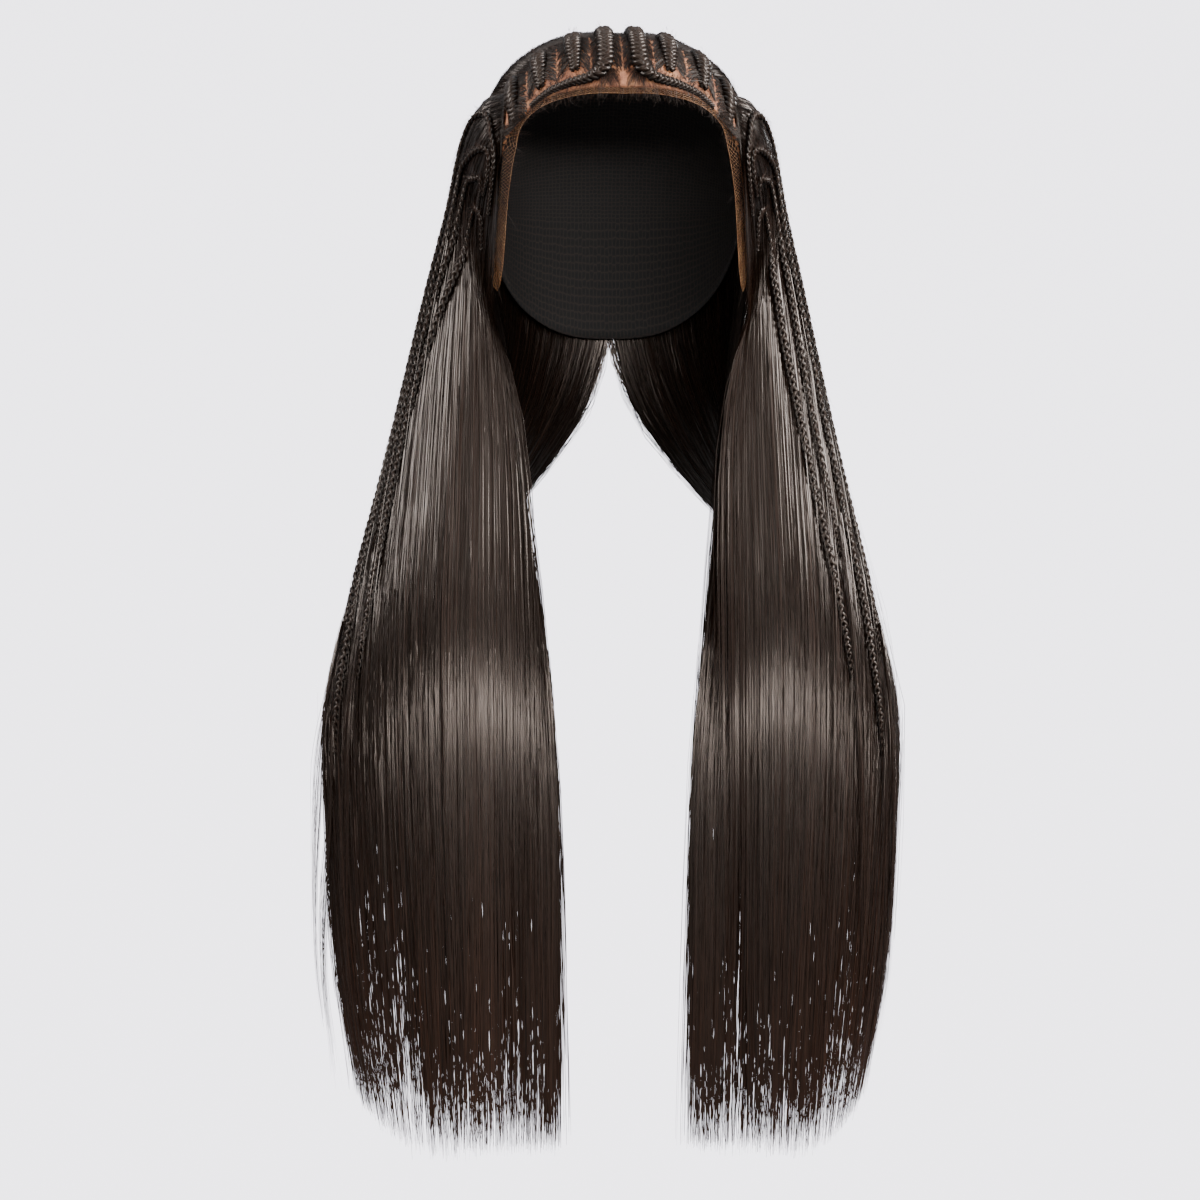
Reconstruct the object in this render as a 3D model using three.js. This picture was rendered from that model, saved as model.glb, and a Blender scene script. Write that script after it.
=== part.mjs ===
// Lace front wig: a skin-toned lace front and a dark net back, cornrows over the crown, arched
// temple braids that hang free, and long straight hair brought forward over both shoulders.
// Millimetres, +Z up, the hairline faces -Y. The origin is the inside of the cap at its crown.
import * as THREE from 'three';

// Driving dimensions
const capHalfWidth = 78;
const capHalfLength = 97;
const crownHeight = 100;
const lowerHeight = 210;
const headSquareness = 2.3;
const capWall = 1.2;
const clearance = 0.4;
const sideHairLift = 0.9;
const backHairLift = 1.6;
const plaitLift = 0.9;
const seamSweep = 101;
const seamGapSweep = 0.22;
const earNotchLateral = 80;
const cornrowWidth = 11.2;
const cornrowHeight = 6.4;
const cornrowPitch = 7;
const cornrowEndSweep = 99;
const plaitRadius = 2.9;
const plaitPitch = 14;
const locksPerFall = 7;
const pointsPerLock = 3;
const capColumns = 26;
const laceRows = 8;
const netRows = 8;

// Hairline and nape: the sweep at which the cap's edge lies, by lateral angle
const hairlineEdge = [
  { lateral: 0, sweep: 33.5 },
  { lateral: 20, sweep: 34.5 },
  { lateral: 38, sweep: 35 },
  { lateral: 47, sweep: 31 },
  { lateral: 53, sweep: 24 },
  { lateral: 59, sweep: 0 },
  { lateral: 64, sweep: -31 },
  { lateral: 71, sweep: -37 },
  { lateral: 80, sweep: -28 },
];
const napeEdge = [
  { lateral: 0, sweep: 200 },
  { lateral: 30, sweep: 200 },
  { lateral: 55, sweep: 198 },
  { lateral: 70, sweep: 192 },
  { lateral: 80, sweep: 182 },
];

// Braids on the lace: waypoints by lateral and sweep angle, with the braid's share of full width
const centerBraid = [
  { lateral: 39, sweep: 38.6, share: 0.34 },
  { lateral: 31, sweep: 39.8, share: 0.46 },
  { lateral: 22, sweep: 40, share: 0.56 },
  { lateral: 13, sweep: 40.4, share: 0.72 },
  { lateral: 7.6, sweep: 44.5, share: 0.95 },
  { lateral: 6.6, sweep: 55, share: 1 },
  { lateral: 6.4, sweep: 80, share: 1 },
  { lateral: 6.2, sweep: cornrowEndSweep, share: 0.9 },
];
const cornrows = [
  { order: 2, lateral: 19.3, startSweep: 45.6 },
  { order: 3, lateral: 33.8, startSweep: 44.5 },
  { order: 4, lateral: 47.4, startSweep: 36 },
];

// Loose hair from above the ear. Rows on the cap give lateral and sweep angles, rows below it
// give out from the middle, forward and drop. Each row states the front, middle and rear lines
// of the hair's under face, and the hair's thickness.
const sideFallCapRows = [
  { front: [56, 27], middle: [52.4, 64], rear: [51.4, 99], thick: 4 },
  { front: [58, 20], middle: [55.5, 64], rear: [54, 102], thick: 11 },
  { front: [62, 6], middle: [63, 64], rear: [61, 110], thick: 13.5 },
  { front: [66, -10], middle: [71, 64], rear: [69, 122], thick: 15 },
  { front: [69, -25], middle: [79, 62], rear: [74, 140], thick: 16 },
];
const sideFallFreeRows = [
  { front: [77, 30, 152], middle: [83, 2, 112], rear: [84, -28, 116], thick: 17 },
  { front: [75, 36, 180], middle: [91, 12, 156], rear: [93, -28, 160], thick: 17 },
  { front: [73, 50, 225], middle: [100, 32, 210], rear: [104, -12, 212], thick: 16 },
  { front: [72, 72, 282], middle: [107, 60, 272], rear: [118, 18, 270], thick: 16 },
  { front: [72, 94, 342], middle: [113, 88, 336], rear: [135, 54, 334], thick: 16 },
  { front: [71, 107, 400], middle: [116, 104, 400], rear: [150, 84, 398], thick: 15 },
  { front: [71, 110, 470], middle: [115, 109, 470], rear: [148, 92, 468], thick: 14 },
  { front: [71, 109, 545], middle: [112, 109, 545], rear: [144, 92, 540], thick: 12 },
  { front: [72, 107, 610], middle: [109, 107, 610], rear: [138, 92, 590], thick: 8 },
  { front: [73, 106, 655], middle: [107, 106, 656], rear: [134, 92, 632], thick: 1.8 },
];

// Loose hair from the crown and back, parted at the centre of the nape and brought forward
// under the side hair. The front line starts behind the ear, the rear line at the back part.
const backFallCapRows = [
  { front: [50, 103.5], middle: [25, 101.5], rear: [1, 101], thick: 4 },
  { front: [52.5, 107], middle: [25.5, 105.5], rear: [1, 105], thick: 13 },
  { front: [60, 116], middle: [28, 119], rear: [1, 119], thick: 14.5 },
  { front: [68, 130], middle: [32, 136], rear: [1, 136], thick: 15 },
  { front: [73, 150], middle: [37, 154], rear: [1, 154], thick: 14 },
  { front: [74, 171], middle: [41, 172], rear: [1, 172], thick: 14 },
  { front: [71, 190], middle: [44, 189], rear: [1.5, 189], thick: 14 },
];
const backFallFreeRows = [
  { front: [74, -18, 142], middle: [57, -82, 160], rear: [3, -99, 168], thick: 14 },
  { front: [67, 4, 182], middle: [64, -56, 202], rear: [14, -94, 214], thick: 14 },
  { front: [61, 26, 230], middle: [73, -18, 250], rear: [46, -70, 262], thick: 14 },
  { front: [55, 50, 280], middle: [81, 17, 300], rear: [88, -24, 312], thick: 13 },
  { front: [49, 74, 337], middle: [87, 52, 350], rear: [114, 18, 358], thick: 13 },
  { front: [44, 89, 400], middle: [88, 76, 406], rear: [126, 58, 410], thick: 12 },
  { front: [42, 94, 470], middle: [86, 86, 472], rear: [125, 75, 474], thick: 12 },
  { front: [42, 94, 545], middle: [84, 87, 545], rear: [121, 79, 545], thick: 10 },
  { front: [42, 92, 612], middle: [82, 87, 612], rear: [117, 79, 604], thick: 6 },
  { front: [43, 91, 656], middle: [81, 87, 657], rear: [114, 79, 645], thick: 1.8 },
];
const sideEdge = { front: 0.2, frontRamp: 0.65, rear: 0.8, rearRamp: 0.2 };
const backEdge = { front: 0.6, frontRamp: 0.3, rear: 0.75, rearRamp: 0.5 };
const lockRelief = 1.6;
const lockReliefOnCap = 0.5;
const tipNotch = 30;
const tipScatter = 22;
const flareRows = 5;
const leftFlare = 14;
const rightFlare = -1;

// Temple braids: waypoints on the side hair's outer face, across it (0 front to 1 rear) and by
// row, each with the braid's share of full width
const sideBraids = [
  [
    { across: 0, row: 2.7, share: 0.5 },
    { across: 0.005, row: 1.8, share: 0.6 },
    { across: 0.06, row: 1.12, share: 0.7 },
    { across: 0.2, row: 1.05, share: 0.75 },
    { across: 0.36, row: 1.1, share: 0.8 },
    { across: 0.5, row: 1.6, share: 0.85 },
    { across: 0.61, row: 2.6, share: 0.9 },
    { across: 0.66, row: 4, share: 0.95 },
    { across: 0.67, row: 5.6, share: 1 },
    { across: 0.7, row: 6.7, share: 1 },
    { across: 0.76, row: 7.7, share: 1 },
    { across: 0.82, row: 8.7, share: 0.95 },
    { across: 0.86, row: 9.6, share: 0.75 },
  ],
  [
    { across: 0.07, row: 2.9, share: 0.5 },
    { across: 0.068, row: 2.2, share: 0.6 },
    { across: 0.09, row: 1.68, share: 0.65 },
    { across: 0.14, row: 1.5, share: 0.7 },
    { across: 0.22, row: 1.8, share: 0.75 },
    { across: 0.31, row: 2.6, share: 0.8 },
    { across: 0.39, row: 3.6, share: 0.9 },
    { across: 0.46, row: 4.6, share: 0.95 },
    { across: 0.5, row: 5.8, share: 1 },
    { across: 0.54, row: 6.9, share: 1 },
    { across: 0.61, row: 7.8, share: 1 },
    { across: 0.69, row: 8.7, share: 1 },
    { across: 0.77, row: 9.6, share: 1 },
    { across: 0.84, row: 10.4, share: 0.75 },
  ],
  [
    { across: 0.1, row: 3.35, share: 0.5 },
    { across: 0.105, row: 2.85, share: 0.6 },
    { across: 0.135, row: 2.65, share: 0.65 },
    { across: 0.18, row: 2.95, share: 0.7 },
    { across: 0.25, row: 3.8, share: 0.8 },
    { across: 0.32, row: 4.5, share: 0.9 },
    { across: 0.38, row: 5.3, share: 1 },
    { across: 0.405, row: 6.2, share: 1 },
    { across: 0.44, row: 7.1, share: 1 },
    { across: 0.5, row: 7.9, share: 1 },
    { across: 0.57, row: 8.7, share: 0.75 },
  ],
  [
    { across: 0.03, row: 4.2, share: 0.5 },
    { across: 0.045, row: 3.65, share: 0.6 },
    { across: 0.09, row: 3.8, share: 0.65 },
    { across: 0.14, row: 4.2, share: 0.7 },
    { across: 0.2, row: 4.8, share: 0.85 },
    { across: 0.25, row: 5.6, share: 1 },
    { across: 0.29, row: 6.4, share: 1 },
    { across: 0.35, row: 7.2, share: 1 },
    { across: 0.42, row: 8, share: 1 },
    { across: 0.51, row: 8.9, share: 1 },
    { across: 0.62, row: 9.8, share: 0.75 },
  ],
];

// As they hang, the left plaits gather towards a line behind the fall's outer edge: the part of
// the way that they go, where that line lies across the fall, and the rows between which they go
const leftPlaitGather = 0.36;
const rightPlaitGather = 0;
const gatherAcross = 1.1;
const gatherRows = { from: 4.5, to: 8 };

const rightSide = 1;
const leftSide = -1;
const degrees = Math.PI / 180;

// A value read from a table of rows, smoothly between the rows
function readTable(rows, key, column, at) {
  let row = 0;
  while (row < rows.length - 2 && rows[row + 1][key] < at) row += 1;
  const slope = (i) => {
    const before = rows[Math.max(i - 1, 0)];
    const after = rows[Math.min(i + 1, rows.length - 1)];
    return (after[column] - before[column]) / (after[key] - before[key]);
  };
  const low = rows[row];
  const high = rows[row + 1];
  const span = high[key] - low[key];
  const t = THREE.MathUtils.clamp((at - low[key]) / span, 0, 1);
  const ease = t * t * (3 - 2 * t);
  const lean = slope(row) * t * (1 - t) * (1 - t) - slope(row + 1) * t * t * (1 - t);
  return low[column] + (high[column] - low[column]) * ease + lean * span;
}

// A point on the head form that the cap fits, lifted off it along its normal
function onHead(lateral, sweep, lift) {
  const aside = Math.sin(lateral * degrees);
  const ahead = -Math.cos(lateral * degrees) * Math.cos(sweep * degrees);
  const above = Math.cos(lateral * degrees) * Math.sin(sweep * degrees);
  const shares = [aside, ahead, above].map((part) => Math.abs(part) ** headSquareness);
  const reach = (shares[0] + shares[1] + shares[2]) ** (-1 / headSquareness);
  const tall = above > 0 ? crownHeight : lowerHeight;
  const power = headSquareness - 1;
  const normal = new THREE.Vector3(
    (Math.sign(aside) * Math.abs(aside) ** power) / capHalfWidth,
    (Math.sign(ahead) * Math.abs(ahead) ** power) / capHalfLength,
    (Math.sign(above) * Math.abs(above) ** power) / tall,
  ).normalize();
  const point = new THREE.Vector3(
    capHalfWidth * reach * aside,
    capHalfLength * reach * ahead,
    tall * reach * above - crownHeight,
  );
  return { point: point.addScaledVector(normal, lift), normal };
}

// A closed solid through a run of closed sections with equally many points
function loft(sections) {
  const count = sections[0].length;
  const places = sections.flat();
  const index = [];
  for (let s = 0; s < sections.length - 1; s += 1) {
    for (let i = 0; i < count; i += 1) {
      const a = s * count + i;
      const b = s * count + ((i + 1) % count);
      index.push(a, b, b + count, a, b + count, a + count);
    }
  }
  const last = (sections.length - 1) * count;
  for (let i = 0; i < count / 2 - 1; i += 1) {
    const far = count - 1 - i;
    index.push(i, far, far - 1, i, far - 1, i + 1);
    index.push(last + i, last + far - 1, last + far, last + i, last + i + 1, last + far - 1);
  }
  const normal = new THREE.Vector3();
  let volume = 0;
  for (let f = 0; f < index.length; f += 3) {
    normal.crossVectors(places[index[f + 1]], places[index[f + 2]]);
    volume += places[index[f]].dot(normal);
  }
  if (volume < 0) index.reverse();
  const geometry = new THREE.BufferGeometry().setFromPoints(places);
  geometry.setIndex(index);
  geometry.computeVertexNormals();
  return geometry;
}

const mirrored = (point, side) => new THREE.Vector3(point.x * side, point.y, point.z);

// A wall of the cap between two edges, each a sweep by lateral angle
function capShell(nearEdge, farEdge, rows) {
  const sections = [];
  for (let row = 0; row <= rows; row += 1) {
    const outer = [];
    const inner = [];
    for (let column = 0; column <= capColumns; column += 1) {
      const lateral = THREE.MathUtils.lerp(-earNotchLateral, earNotchLateral, column / capColumns);
      const near = nearEdge(Math.abs(lateral));
      const far = farEdge(Math.abs(lateral));
      const sweep = THREE.MathUtils.lerp(near, far, row / rows);
      outer.push(onHead(lateral, sweep, capWall).point);
      inner.unshift(onHead(lateral, sweep, 0).point);
    }
    sections.push([...outer, ...inner]);
  }
  return loft(sections);
}

// A braid of half-round section lying on the cap
function cornrow(waypoints, side) {
  const route = new THREE.CatmullRomCurve3(
    waypoints.map((w) => new THREE.Vector3(w.lateral, w.sweep, w.share)),
    false,
    'catmullrom',
    0.5,
  );
  const place = (t) => {
    const at = route.getPoint(THREE.MathUtils.clamp(t, 0, 1));
    return { ...onHead(at.x, at.y, capWall + clearance), share: at.z };
  };
  const fineSteps = 200;
  const travelled = [0];
  for (let i = 1; i <= fineSteps; i += 1) {
    const step = place(i / fineSteps).point.distanceTo(place((i - 1) / fineSteps).point);
    travelled.push(travelled[i - 1] + step);
  }
  const length = travelled[fineSteps];
  const rings = Math.round(length / cornrowPitch);
  const sections = [];
  for (let ring = 0; ring <= rings; ring += 1) {
    const wanted = (length * ring) / rings;
    let fine = 1;
    while (fine < fineSteps && travelled[fine] < wanted) fine += 1;
    const part = (wanted - travelled[fine - 1]) / (travelled[fine] - travelled[fine - 1]);
    const t = (fine - 1 + part) / fineSteps;
    const { point, normal, share } = place(t);
    const along = place(t + 0.01).point.sub(place(t - 0.01).point);
    const across = along.cross(normal).normalize();
    const atEnd = ring === 0 || ring === rings ? 0.55 : 1;
    const width = cornrowWidth * share * atEnd;
    const height = cornrowHeight * (0.3 + 0.7 * share) * atEnd * (ring % 2 ? 1 : 0.86);
    const sway = ring % 2 ? 0.06 : -0.06;
    const profile = [
      [-0.36, 0],
      [-0.5 + sway, 0.42],
      [-0.26 + sway, 0.92],
      [0.26 + sway, 0.92],
      [0.5 + sway, 0.42],
      [0.36, 0],
    ];
    const section = profile.map(([aside, above]) => {
      const spot = point.clone().addScaledVector(across, aside * width);
      return mirrored(spot.addScaledVector(normal, above * height), side);
    });
    sections.push(section);
  }
  return loft(sections);
}

// A sheet of loose hair whose under face runs through rows of front, middle and rear places
function hairSheet(capRows, freeRows, edge, capLift, flare) {
  const rowCount = capRows.length + freeRows.length;
  const quadratic = (row, across, axis) =>
    row.front[axis] * (1 - across) * (1 - 2 * across)
    + row.middle[axis] * 4 * across * (1 - across)
    + row.rear[axis] * across * (2 * across - 1);
  const line = (across) => {
    const onCap = capRows.map((row) => {
      const lateral = quadratic(row, across, 0);
      return onHead(lateral, quadratic(row, across, 1), capWall + capLift).point;
    });
    const free = freeRows.map((row, at) => {
      const [out, forward, drop] = [0, 1, 2].map((axis) => quadratic(row, across, axis));
      const spread = flare * across * THREE.MathUtils.clamp(at / flareRows, 0, 1);
      return new THREE.Vector3(out + spread, -forward, -drop);
    });
    return new THREE.CatmullRomCurve3([...onCap, ...free], false, 'catmullrom', 0.5);
  };
  const under = (across, row) =>
    line(across).getPoint(THREE.MathUtils.clamp(row / (rowCount - 1), 0, 1));
  const normalAt = (across, row) => {
    const nudge = 0.01;
    const sideways = under(across + nudge, row).sub(under(across - nudge, row));
    const downward = under(across, row + nudge).sub(under(across, row - nudge));
    return downward.cross(sideways).normalize();
  };
  const thicknessAt = (across, row) => {
    const rows = [...capRows, ...freeRows].map((entry, at) => ({ at, thick: entry.thick }));
    const nearFront = Math.sin(Math.min(across / edge.frontRamp, 1) * 90 * degrees);
    const nearRear = Math.sin(Math.min((1 - across) / edge.rearRamp, 1) * 90 * degrees);
    const profile = THREE.MathUtils.lerp(edge.front, 1, nearFront)
      * THREE.MathUtils.lerp(edge.rear, 1, nearRear);
    return Math.max(readTable(rows, 'at', 'thick', row) * profile, 1.6);
  };
  const outerAt = (across, row, lift) => {
    const [low, high] = [Math.floor(row), Math.ceil(row)].map((whole) => {
      const normal = normalAt(across, whole);
      const thick = thicknessAt(across, whole);
      return { point: under(across, whole).addScaledVector(normal, thick), normal };
    });
    const part = row - Math.floor(row);
    const normal = low.normal.clone().lerp(high.normal, part).normalize();
    return { point: low.point.lerp(high.point, part).addScaledVector(normal, lift), normal };
  };
  return { under, normalAt, thicknessAt, outerAt, rowCount, capRowCount: capRows.length };
}

// The sheet as one solid with raised locks and uneven tips
function fallSolid(sheet, side) {
  const columns = locksPerFall * pointsPerLock;
  const tipRow = sheet.rowCount - 1;
  const sections = [];
  for (let row = 0; row <= tipRow; row += 1) {
    const outer = [];
    const inner = [];
    const free = row >= sheet.capRowCount;
    for (let column = 0; column <= columns; column += 1) {
      const across = column / columns;
      const lock = Math.min(Math.floor(column / pointsPerLock), locksPerFall - 1);
      const valley = column % pointsPerLock === 0;
      const relief = (valley ? -1 : 0) * (free ? lockRelief : lockReliefOnCap);
      const fade = row === tipRow ? 0 : 1;
      const normal = sheet.normalAt(across, row);
      const base = sheet.under(across, row);
      const top = base.clone().addScaledVector(
        normal,
        sheet.thicknessAt(across, row) + relief * fade * 0.5,
      );
      if (row === tipRow) {
        const scatter = tipScatter * (0.5 + 0.5 * Math.sin(lock * 2.4 + 0.7));
        const rise = scatter + (valley ? tipNotch : 0);
        base.z += rise;
        top.z += rise;
      }
      outer.push(mirrored(top, side));
      inner.unshift(mirrored(base, side));
    }
    sections.push([...outer, ...inner]);
  }
  return loft(sections);
}

// A plait's waypoints, drawn towards the gathering line
function gathered(waypoints, gather) {
  return waypoints.map((w) => {
    const hung = THREE.MathUtils.smoothstep(w.row, gatherRows.from, gatherRows.to);
    return { ...w, across: THREE.MathUtils.lerp(w.across, gatherAcross, gather * hung) };
  });
}

// A round plait that lies on the outer face of a sheet
function sidePlait(sheet, waypoints, side) {
  const route = new THREE.CatmullRomCurve3(
    waypoints.map((w) => new THREE.Vector3(w.across * 10, w.row, w.share)),
    false,
    'catmullrom',
    0.5,
  );
  const fineSteps = 120;
  const fine = [];
  for (let i = 0; i <= fineSteps; i += 1) {
    const at = route.getPoint(i / fineSteps);
    const lift = plaitRadius * at.z + plaitLift;
    const { point, normal } = sheet.outerAt(at.x / 10, at.y, lift);
    fine.push({ point, normal, share: at.z });
  }
  const travelled = [0];
  for (let i = 1; i <= fineSteps; i += 1) {
    travelled.push(travelled[i - 1] + fine[i].point.distanceTo(fine[i - 1].point));
  }
  const length = travelled[fineSteps];
  const rings = Math.round(length / plaitPitch);
  const sections = [];
  for (let ring = 0; ring <= rings; ring += 1) {
    const wanted = (length * ring) / rings;
    let step = 1;
    while (step < fineSteps && travelled[step] < wanted) step += 1;
    const part = (wanted - travelled[step - 1]) / (travelled[step] - travelled[step - 1]);
    const point = fine[step - 1].point.clone().lerp(fine[step].point, part);
    const normal = fine[step - 1].normal.clone().lerp(fine[step].normal, part).normalize();
    const share = THREE.MathUtils.lerp(fine[step - 1].share, fine[step].share, part);
    const along = fine[step].point.clone().sub(fine[step - 1].point).normalize();
    const across = along.clone().cross(normal).normalize();
    const up = across.clone().cross(along).normalize();
    const atEnd = ring === 0 || ring === rings ? 0.5 : 1;
    const radius = plaitRadius * share * atEnd * (ring % 2 ? 1 : 0.86);
    const section = [];
    for (let corner = 0; corner < 6; corner += 1) {
      const angle = (corner * 60 + 30) * degrees;
      const spot = point.clone().addScaledVector(across, Math.cos(angle) * radius);
      spot.addScaledVector(up, Math.sin(angle) * radius);
      section.push(mirrored(spot, side));
    }
    sections.push(section);
  }
  return loft(sections);
}

// Materials
const tones = {
  lace: { color: '#b07a4c', roughness: 0.85 },
  net: { color: '#1d1715', roughness: 0.9 },
  braid: { color: '#1c1412', roughness: 0.5 },
  hair: { color: '#241814', roughness: 0.45 },
};

const wig = new THREE.Group();
wig.name = 'lace_front_wig';

function add(name, geometry, tone) {
  const mesh = new THREE.Mesh(geometry, new THREE.MeshStandardMaterial(tones[tone]));
  mesh.name = name;
  wig.add(mesh);
}

// Cap
const hairline = (lateral) => readTable(hairlineEdge, 'lateral', 'sweep', lateral);
const nape = (lateral) => readTable(napeEdge, 'lateral', 'sweep', lateral);
add('lace_front', capShell(hairline, () => seamSweep, laceRows), 'lace');
add('cap_back', capShell(() => seamSweep + seamGapSweep, nape, netRows), 'net');

// Braids and loose hair, one set for each side
const sides = [
  { name: 'left', side: leftSide, flare: leftFlare, gather: leftPlaitGather },
  { name: 'right', side: rightSide, flare: rightFlare, gather: rightPlaitGather },
];
for (const { name, side, flare, gather } of sides) {
  const sideSheet = hairSheet(sideFallCapRows, sideFallFreeRows, sideEdge, sideHairLift, flare);
  const backSheet = hairSheet(backFallCapRows, backFallFreeRows, backEdge, backHairLift, 0);
  add(`center_braid_${name}`, cornrow(centerBraid, side), 'braid');
  for (const { order, lateral, startSweep } of cornrows) {
    const middleSweep = (startSweep + cornrowEndSweep) / 2;
    const waypoints = [
      { lateral, sweep: startSweep, share: 0.65 },
      { lateral, sweep: (startSweep + middleSweep) / 2, share: 1 },
      { lateral, sweep: middleSweep, share: 1 },
      { lateral, sweep: cornrowEndSweep, share: 0.9 },
    ];
    add(`cornrow_${name}_${order}`, cornrow(waypoints, side), 'braid');
  }
  sideBraids.forEach((waypoints, at) => {
    const route = gathered(waypoints, gather);
    add(`side_braid_${name}_${at + 1}`, sidePlait(sideSheet, route, side), 'braid');
  });
  add(`side_fall_${name}`, fallSolid(sideSheet, side), 'hair');
  add(`back_fall_${name}`, fallSolid(backSheet, side), 'hair');
}

export default wig;
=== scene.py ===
import math

import bpy
import numpy as np
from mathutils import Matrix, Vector


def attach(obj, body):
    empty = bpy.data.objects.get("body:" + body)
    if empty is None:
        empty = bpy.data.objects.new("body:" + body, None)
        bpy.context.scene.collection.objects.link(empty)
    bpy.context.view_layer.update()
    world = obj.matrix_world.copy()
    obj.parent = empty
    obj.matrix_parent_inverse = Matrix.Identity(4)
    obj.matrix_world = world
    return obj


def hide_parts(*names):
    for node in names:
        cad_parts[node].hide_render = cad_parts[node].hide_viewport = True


# Lace front wig: a tan lace front and a dark net back carry cornrows, arched temple braids and long
# straight hair. The tables repeat the part's own form in millimetres; MM turns them to metres.
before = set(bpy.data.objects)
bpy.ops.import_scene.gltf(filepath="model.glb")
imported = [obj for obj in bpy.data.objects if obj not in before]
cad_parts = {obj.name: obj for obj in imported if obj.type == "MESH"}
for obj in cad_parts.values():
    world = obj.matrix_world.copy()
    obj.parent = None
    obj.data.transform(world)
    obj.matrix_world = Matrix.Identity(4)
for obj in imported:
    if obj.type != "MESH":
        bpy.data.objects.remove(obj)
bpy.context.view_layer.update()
MM = 0.001
draw = np.random.default_rng(26)
SIDES = {"left": -1, "right": 1}

# Head form and cap
CAP_HALF_WIDTH = 78.0
CAP_HALF_LENGTH = 97.0
CROWN_HEIGHT = 100.0
LOWER_HEIGHT = 210.0
HEAD_SQUARENESS = 2.3
CAP_WALL = 1.2
SEAM_SWEEP = 101.0
SEAM_GAP_SWEEP = 0.22
EAR_NOTCH_LATERAL = 80.0
# Hairline and nape: lateral angle, sweep angle of the cap's edge
HAIRLINE = ((0, 33.5), (20, 34.5), (38, 35), (47, 31), (53, 24), (59, 0), (64, -31), (71, -37), (80, -28))
NAPE = ((0, 200), (30, 200), (55, 198), (70, 192), (80, 182))

# Cornrows: lateral, sweep, share of full width at each waypoint
CORNROW_WIDTH = 11.8
CORNROW_END_SWEEP = 99.0
CORNROW_START_SHARE = 0.55
CORNROW_END_SHARE = 0.9
CENTER_BRAID = (
    (39, 38.6, 0.34), (31, 39.8, 0.46), (22, 40, 0.56), (13, 40.4, 0.72),
    (7.6, 44.5, 0.95), (6.6, 55, 1), (6.4, 80, 1),
    (6.2, CORNROW_END_SWEEP, CORNROW_END_SHARE),
)
# Straight cornrows: order from the centre, lateral angle, sweep where they start
CORNROWS = ((2, 19.3, 45.6), (3, 33.8, 44.5), (4, 47.4, 36))

# Loose hair: front, middle and rear place of each row of the under face, then thickness.
# Rows on the cap give lateral and sweep angles, free rows give out, forward and drop.
SIDE_CAP_ROWS = (
    ((56, 27), (52.4, 64), (51.4, 99), 4),
    ((58, 20), (55.5, 64), (54, 102), 11),
    ((62, 6), (63, 64), (61, 110), 13.5),
    ((66, -10), (71, 64), (69, 122), 15),
    ((69, -25), (79, 62), (74, 140), 16),
)
SIDE_FREE_ROWS = (
    ((77, 30, 152), (83, 2, 112), (84, -28, 116), 17),
    ((75, 36, 180), (91, 12, 156), (93, -28, 160), 17),
    ((73, 50, 225), (100, 32, 210), (104, -12, 212), 16),
    ((72, 72, 282), (107, 60, 272), (118, 18, 270), 16),
    ((72, 94, 342), (113, 88, 336), (135, 54, 334), 16),
    ((71, 107, 400), (116, 104, 400), (150, 84, 398), 15),
    ((71, 110, 470), (115, 109, 470), (148, 92, 468), 14),
    ((71, 109, 545), (112, 109, 545), (144, 92, 540), 12),
    ((72, 107, 610), (109, 107, 610), (138, 92, 590), 8),
    ((73, 106, 655), (107, 106, 656), (134, 92, 632), 1.8),
)
BACK_CAP_ROWS = (
    ((50, 103.5), (25, 101.5), (1, 101), 4),
    ((52.5, 107), (25.5, 105.5), (1, 105), 13),
    ((60, 116), (28, 119), (1, 119), 14.5),
    ((68, 130), (32, 136), (1, 136), 15),
    ((73, 150), (37, 154), (1, 154), 14),
    ((74, 171), (41, 172), (1, 172), 14),
    ((71, 190), (44, 189), (1.5, 189), 14),
)
BACK_FREE_ROWS = (
    ((74, -18, 142), (57, -82, 160), (3, -99, 168), 14),
    ((67, 4, 182), (64, -56, 202), (14, -94, 214), 14),
    ((61, 26, 230), (73, -18, 250), (46, -70, 262), 14),
    ((55, 50, 280), (81, 17, 300), (88, -24, 312), 13),
    ((49, 74, 337), (87, 52, 350), (114, 18, 358), 13),
    ((44, 89, 400), (88, 76, 406), (126, 58, 410), 12),
    ((42, 94, 470), (86, 86, 472), (125, 75, 474), 12),
    ((42, 94, 545), (84, 87, 545), (121, 79, 545), 10),
    ((42, 92, 612), (82, 87, 612), (117, 79, 604), 6),
    ((43, 91, 656), (81, 87, 657), (114, 79, 645), 1.8),
)
# Thinning towards the sheets' edges: front share, front ramp, rear share, rear ramp
SIDE_EDGE = (0.2, 0.65, 0.8, 0.2)
BACK_EDGE = (0.6, 0.3, 0.75, 0.5)
# Gap between the cap and the hair that lies on it
SIDE_HAIR_LIFT = 0.9
BACK_HAIR_LIFT = 1.6
# Share of its thickness that a sheet has at its roots, and the rows over which it fills out
ROOT_SHARE = 0.45
FIRST_RISE_ROWS = 1.8
# Least thickness of a sheet, and of what is read from it past its edges
LEAST_THICK = 1.6
LEAST_READ = 1.2
# How far the rear edge of a side fall spreads out, and the free rows over which it does
FLARE = {"left": 14.0, "right": -1.0}
FLARE_ROWS = 5

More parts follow.
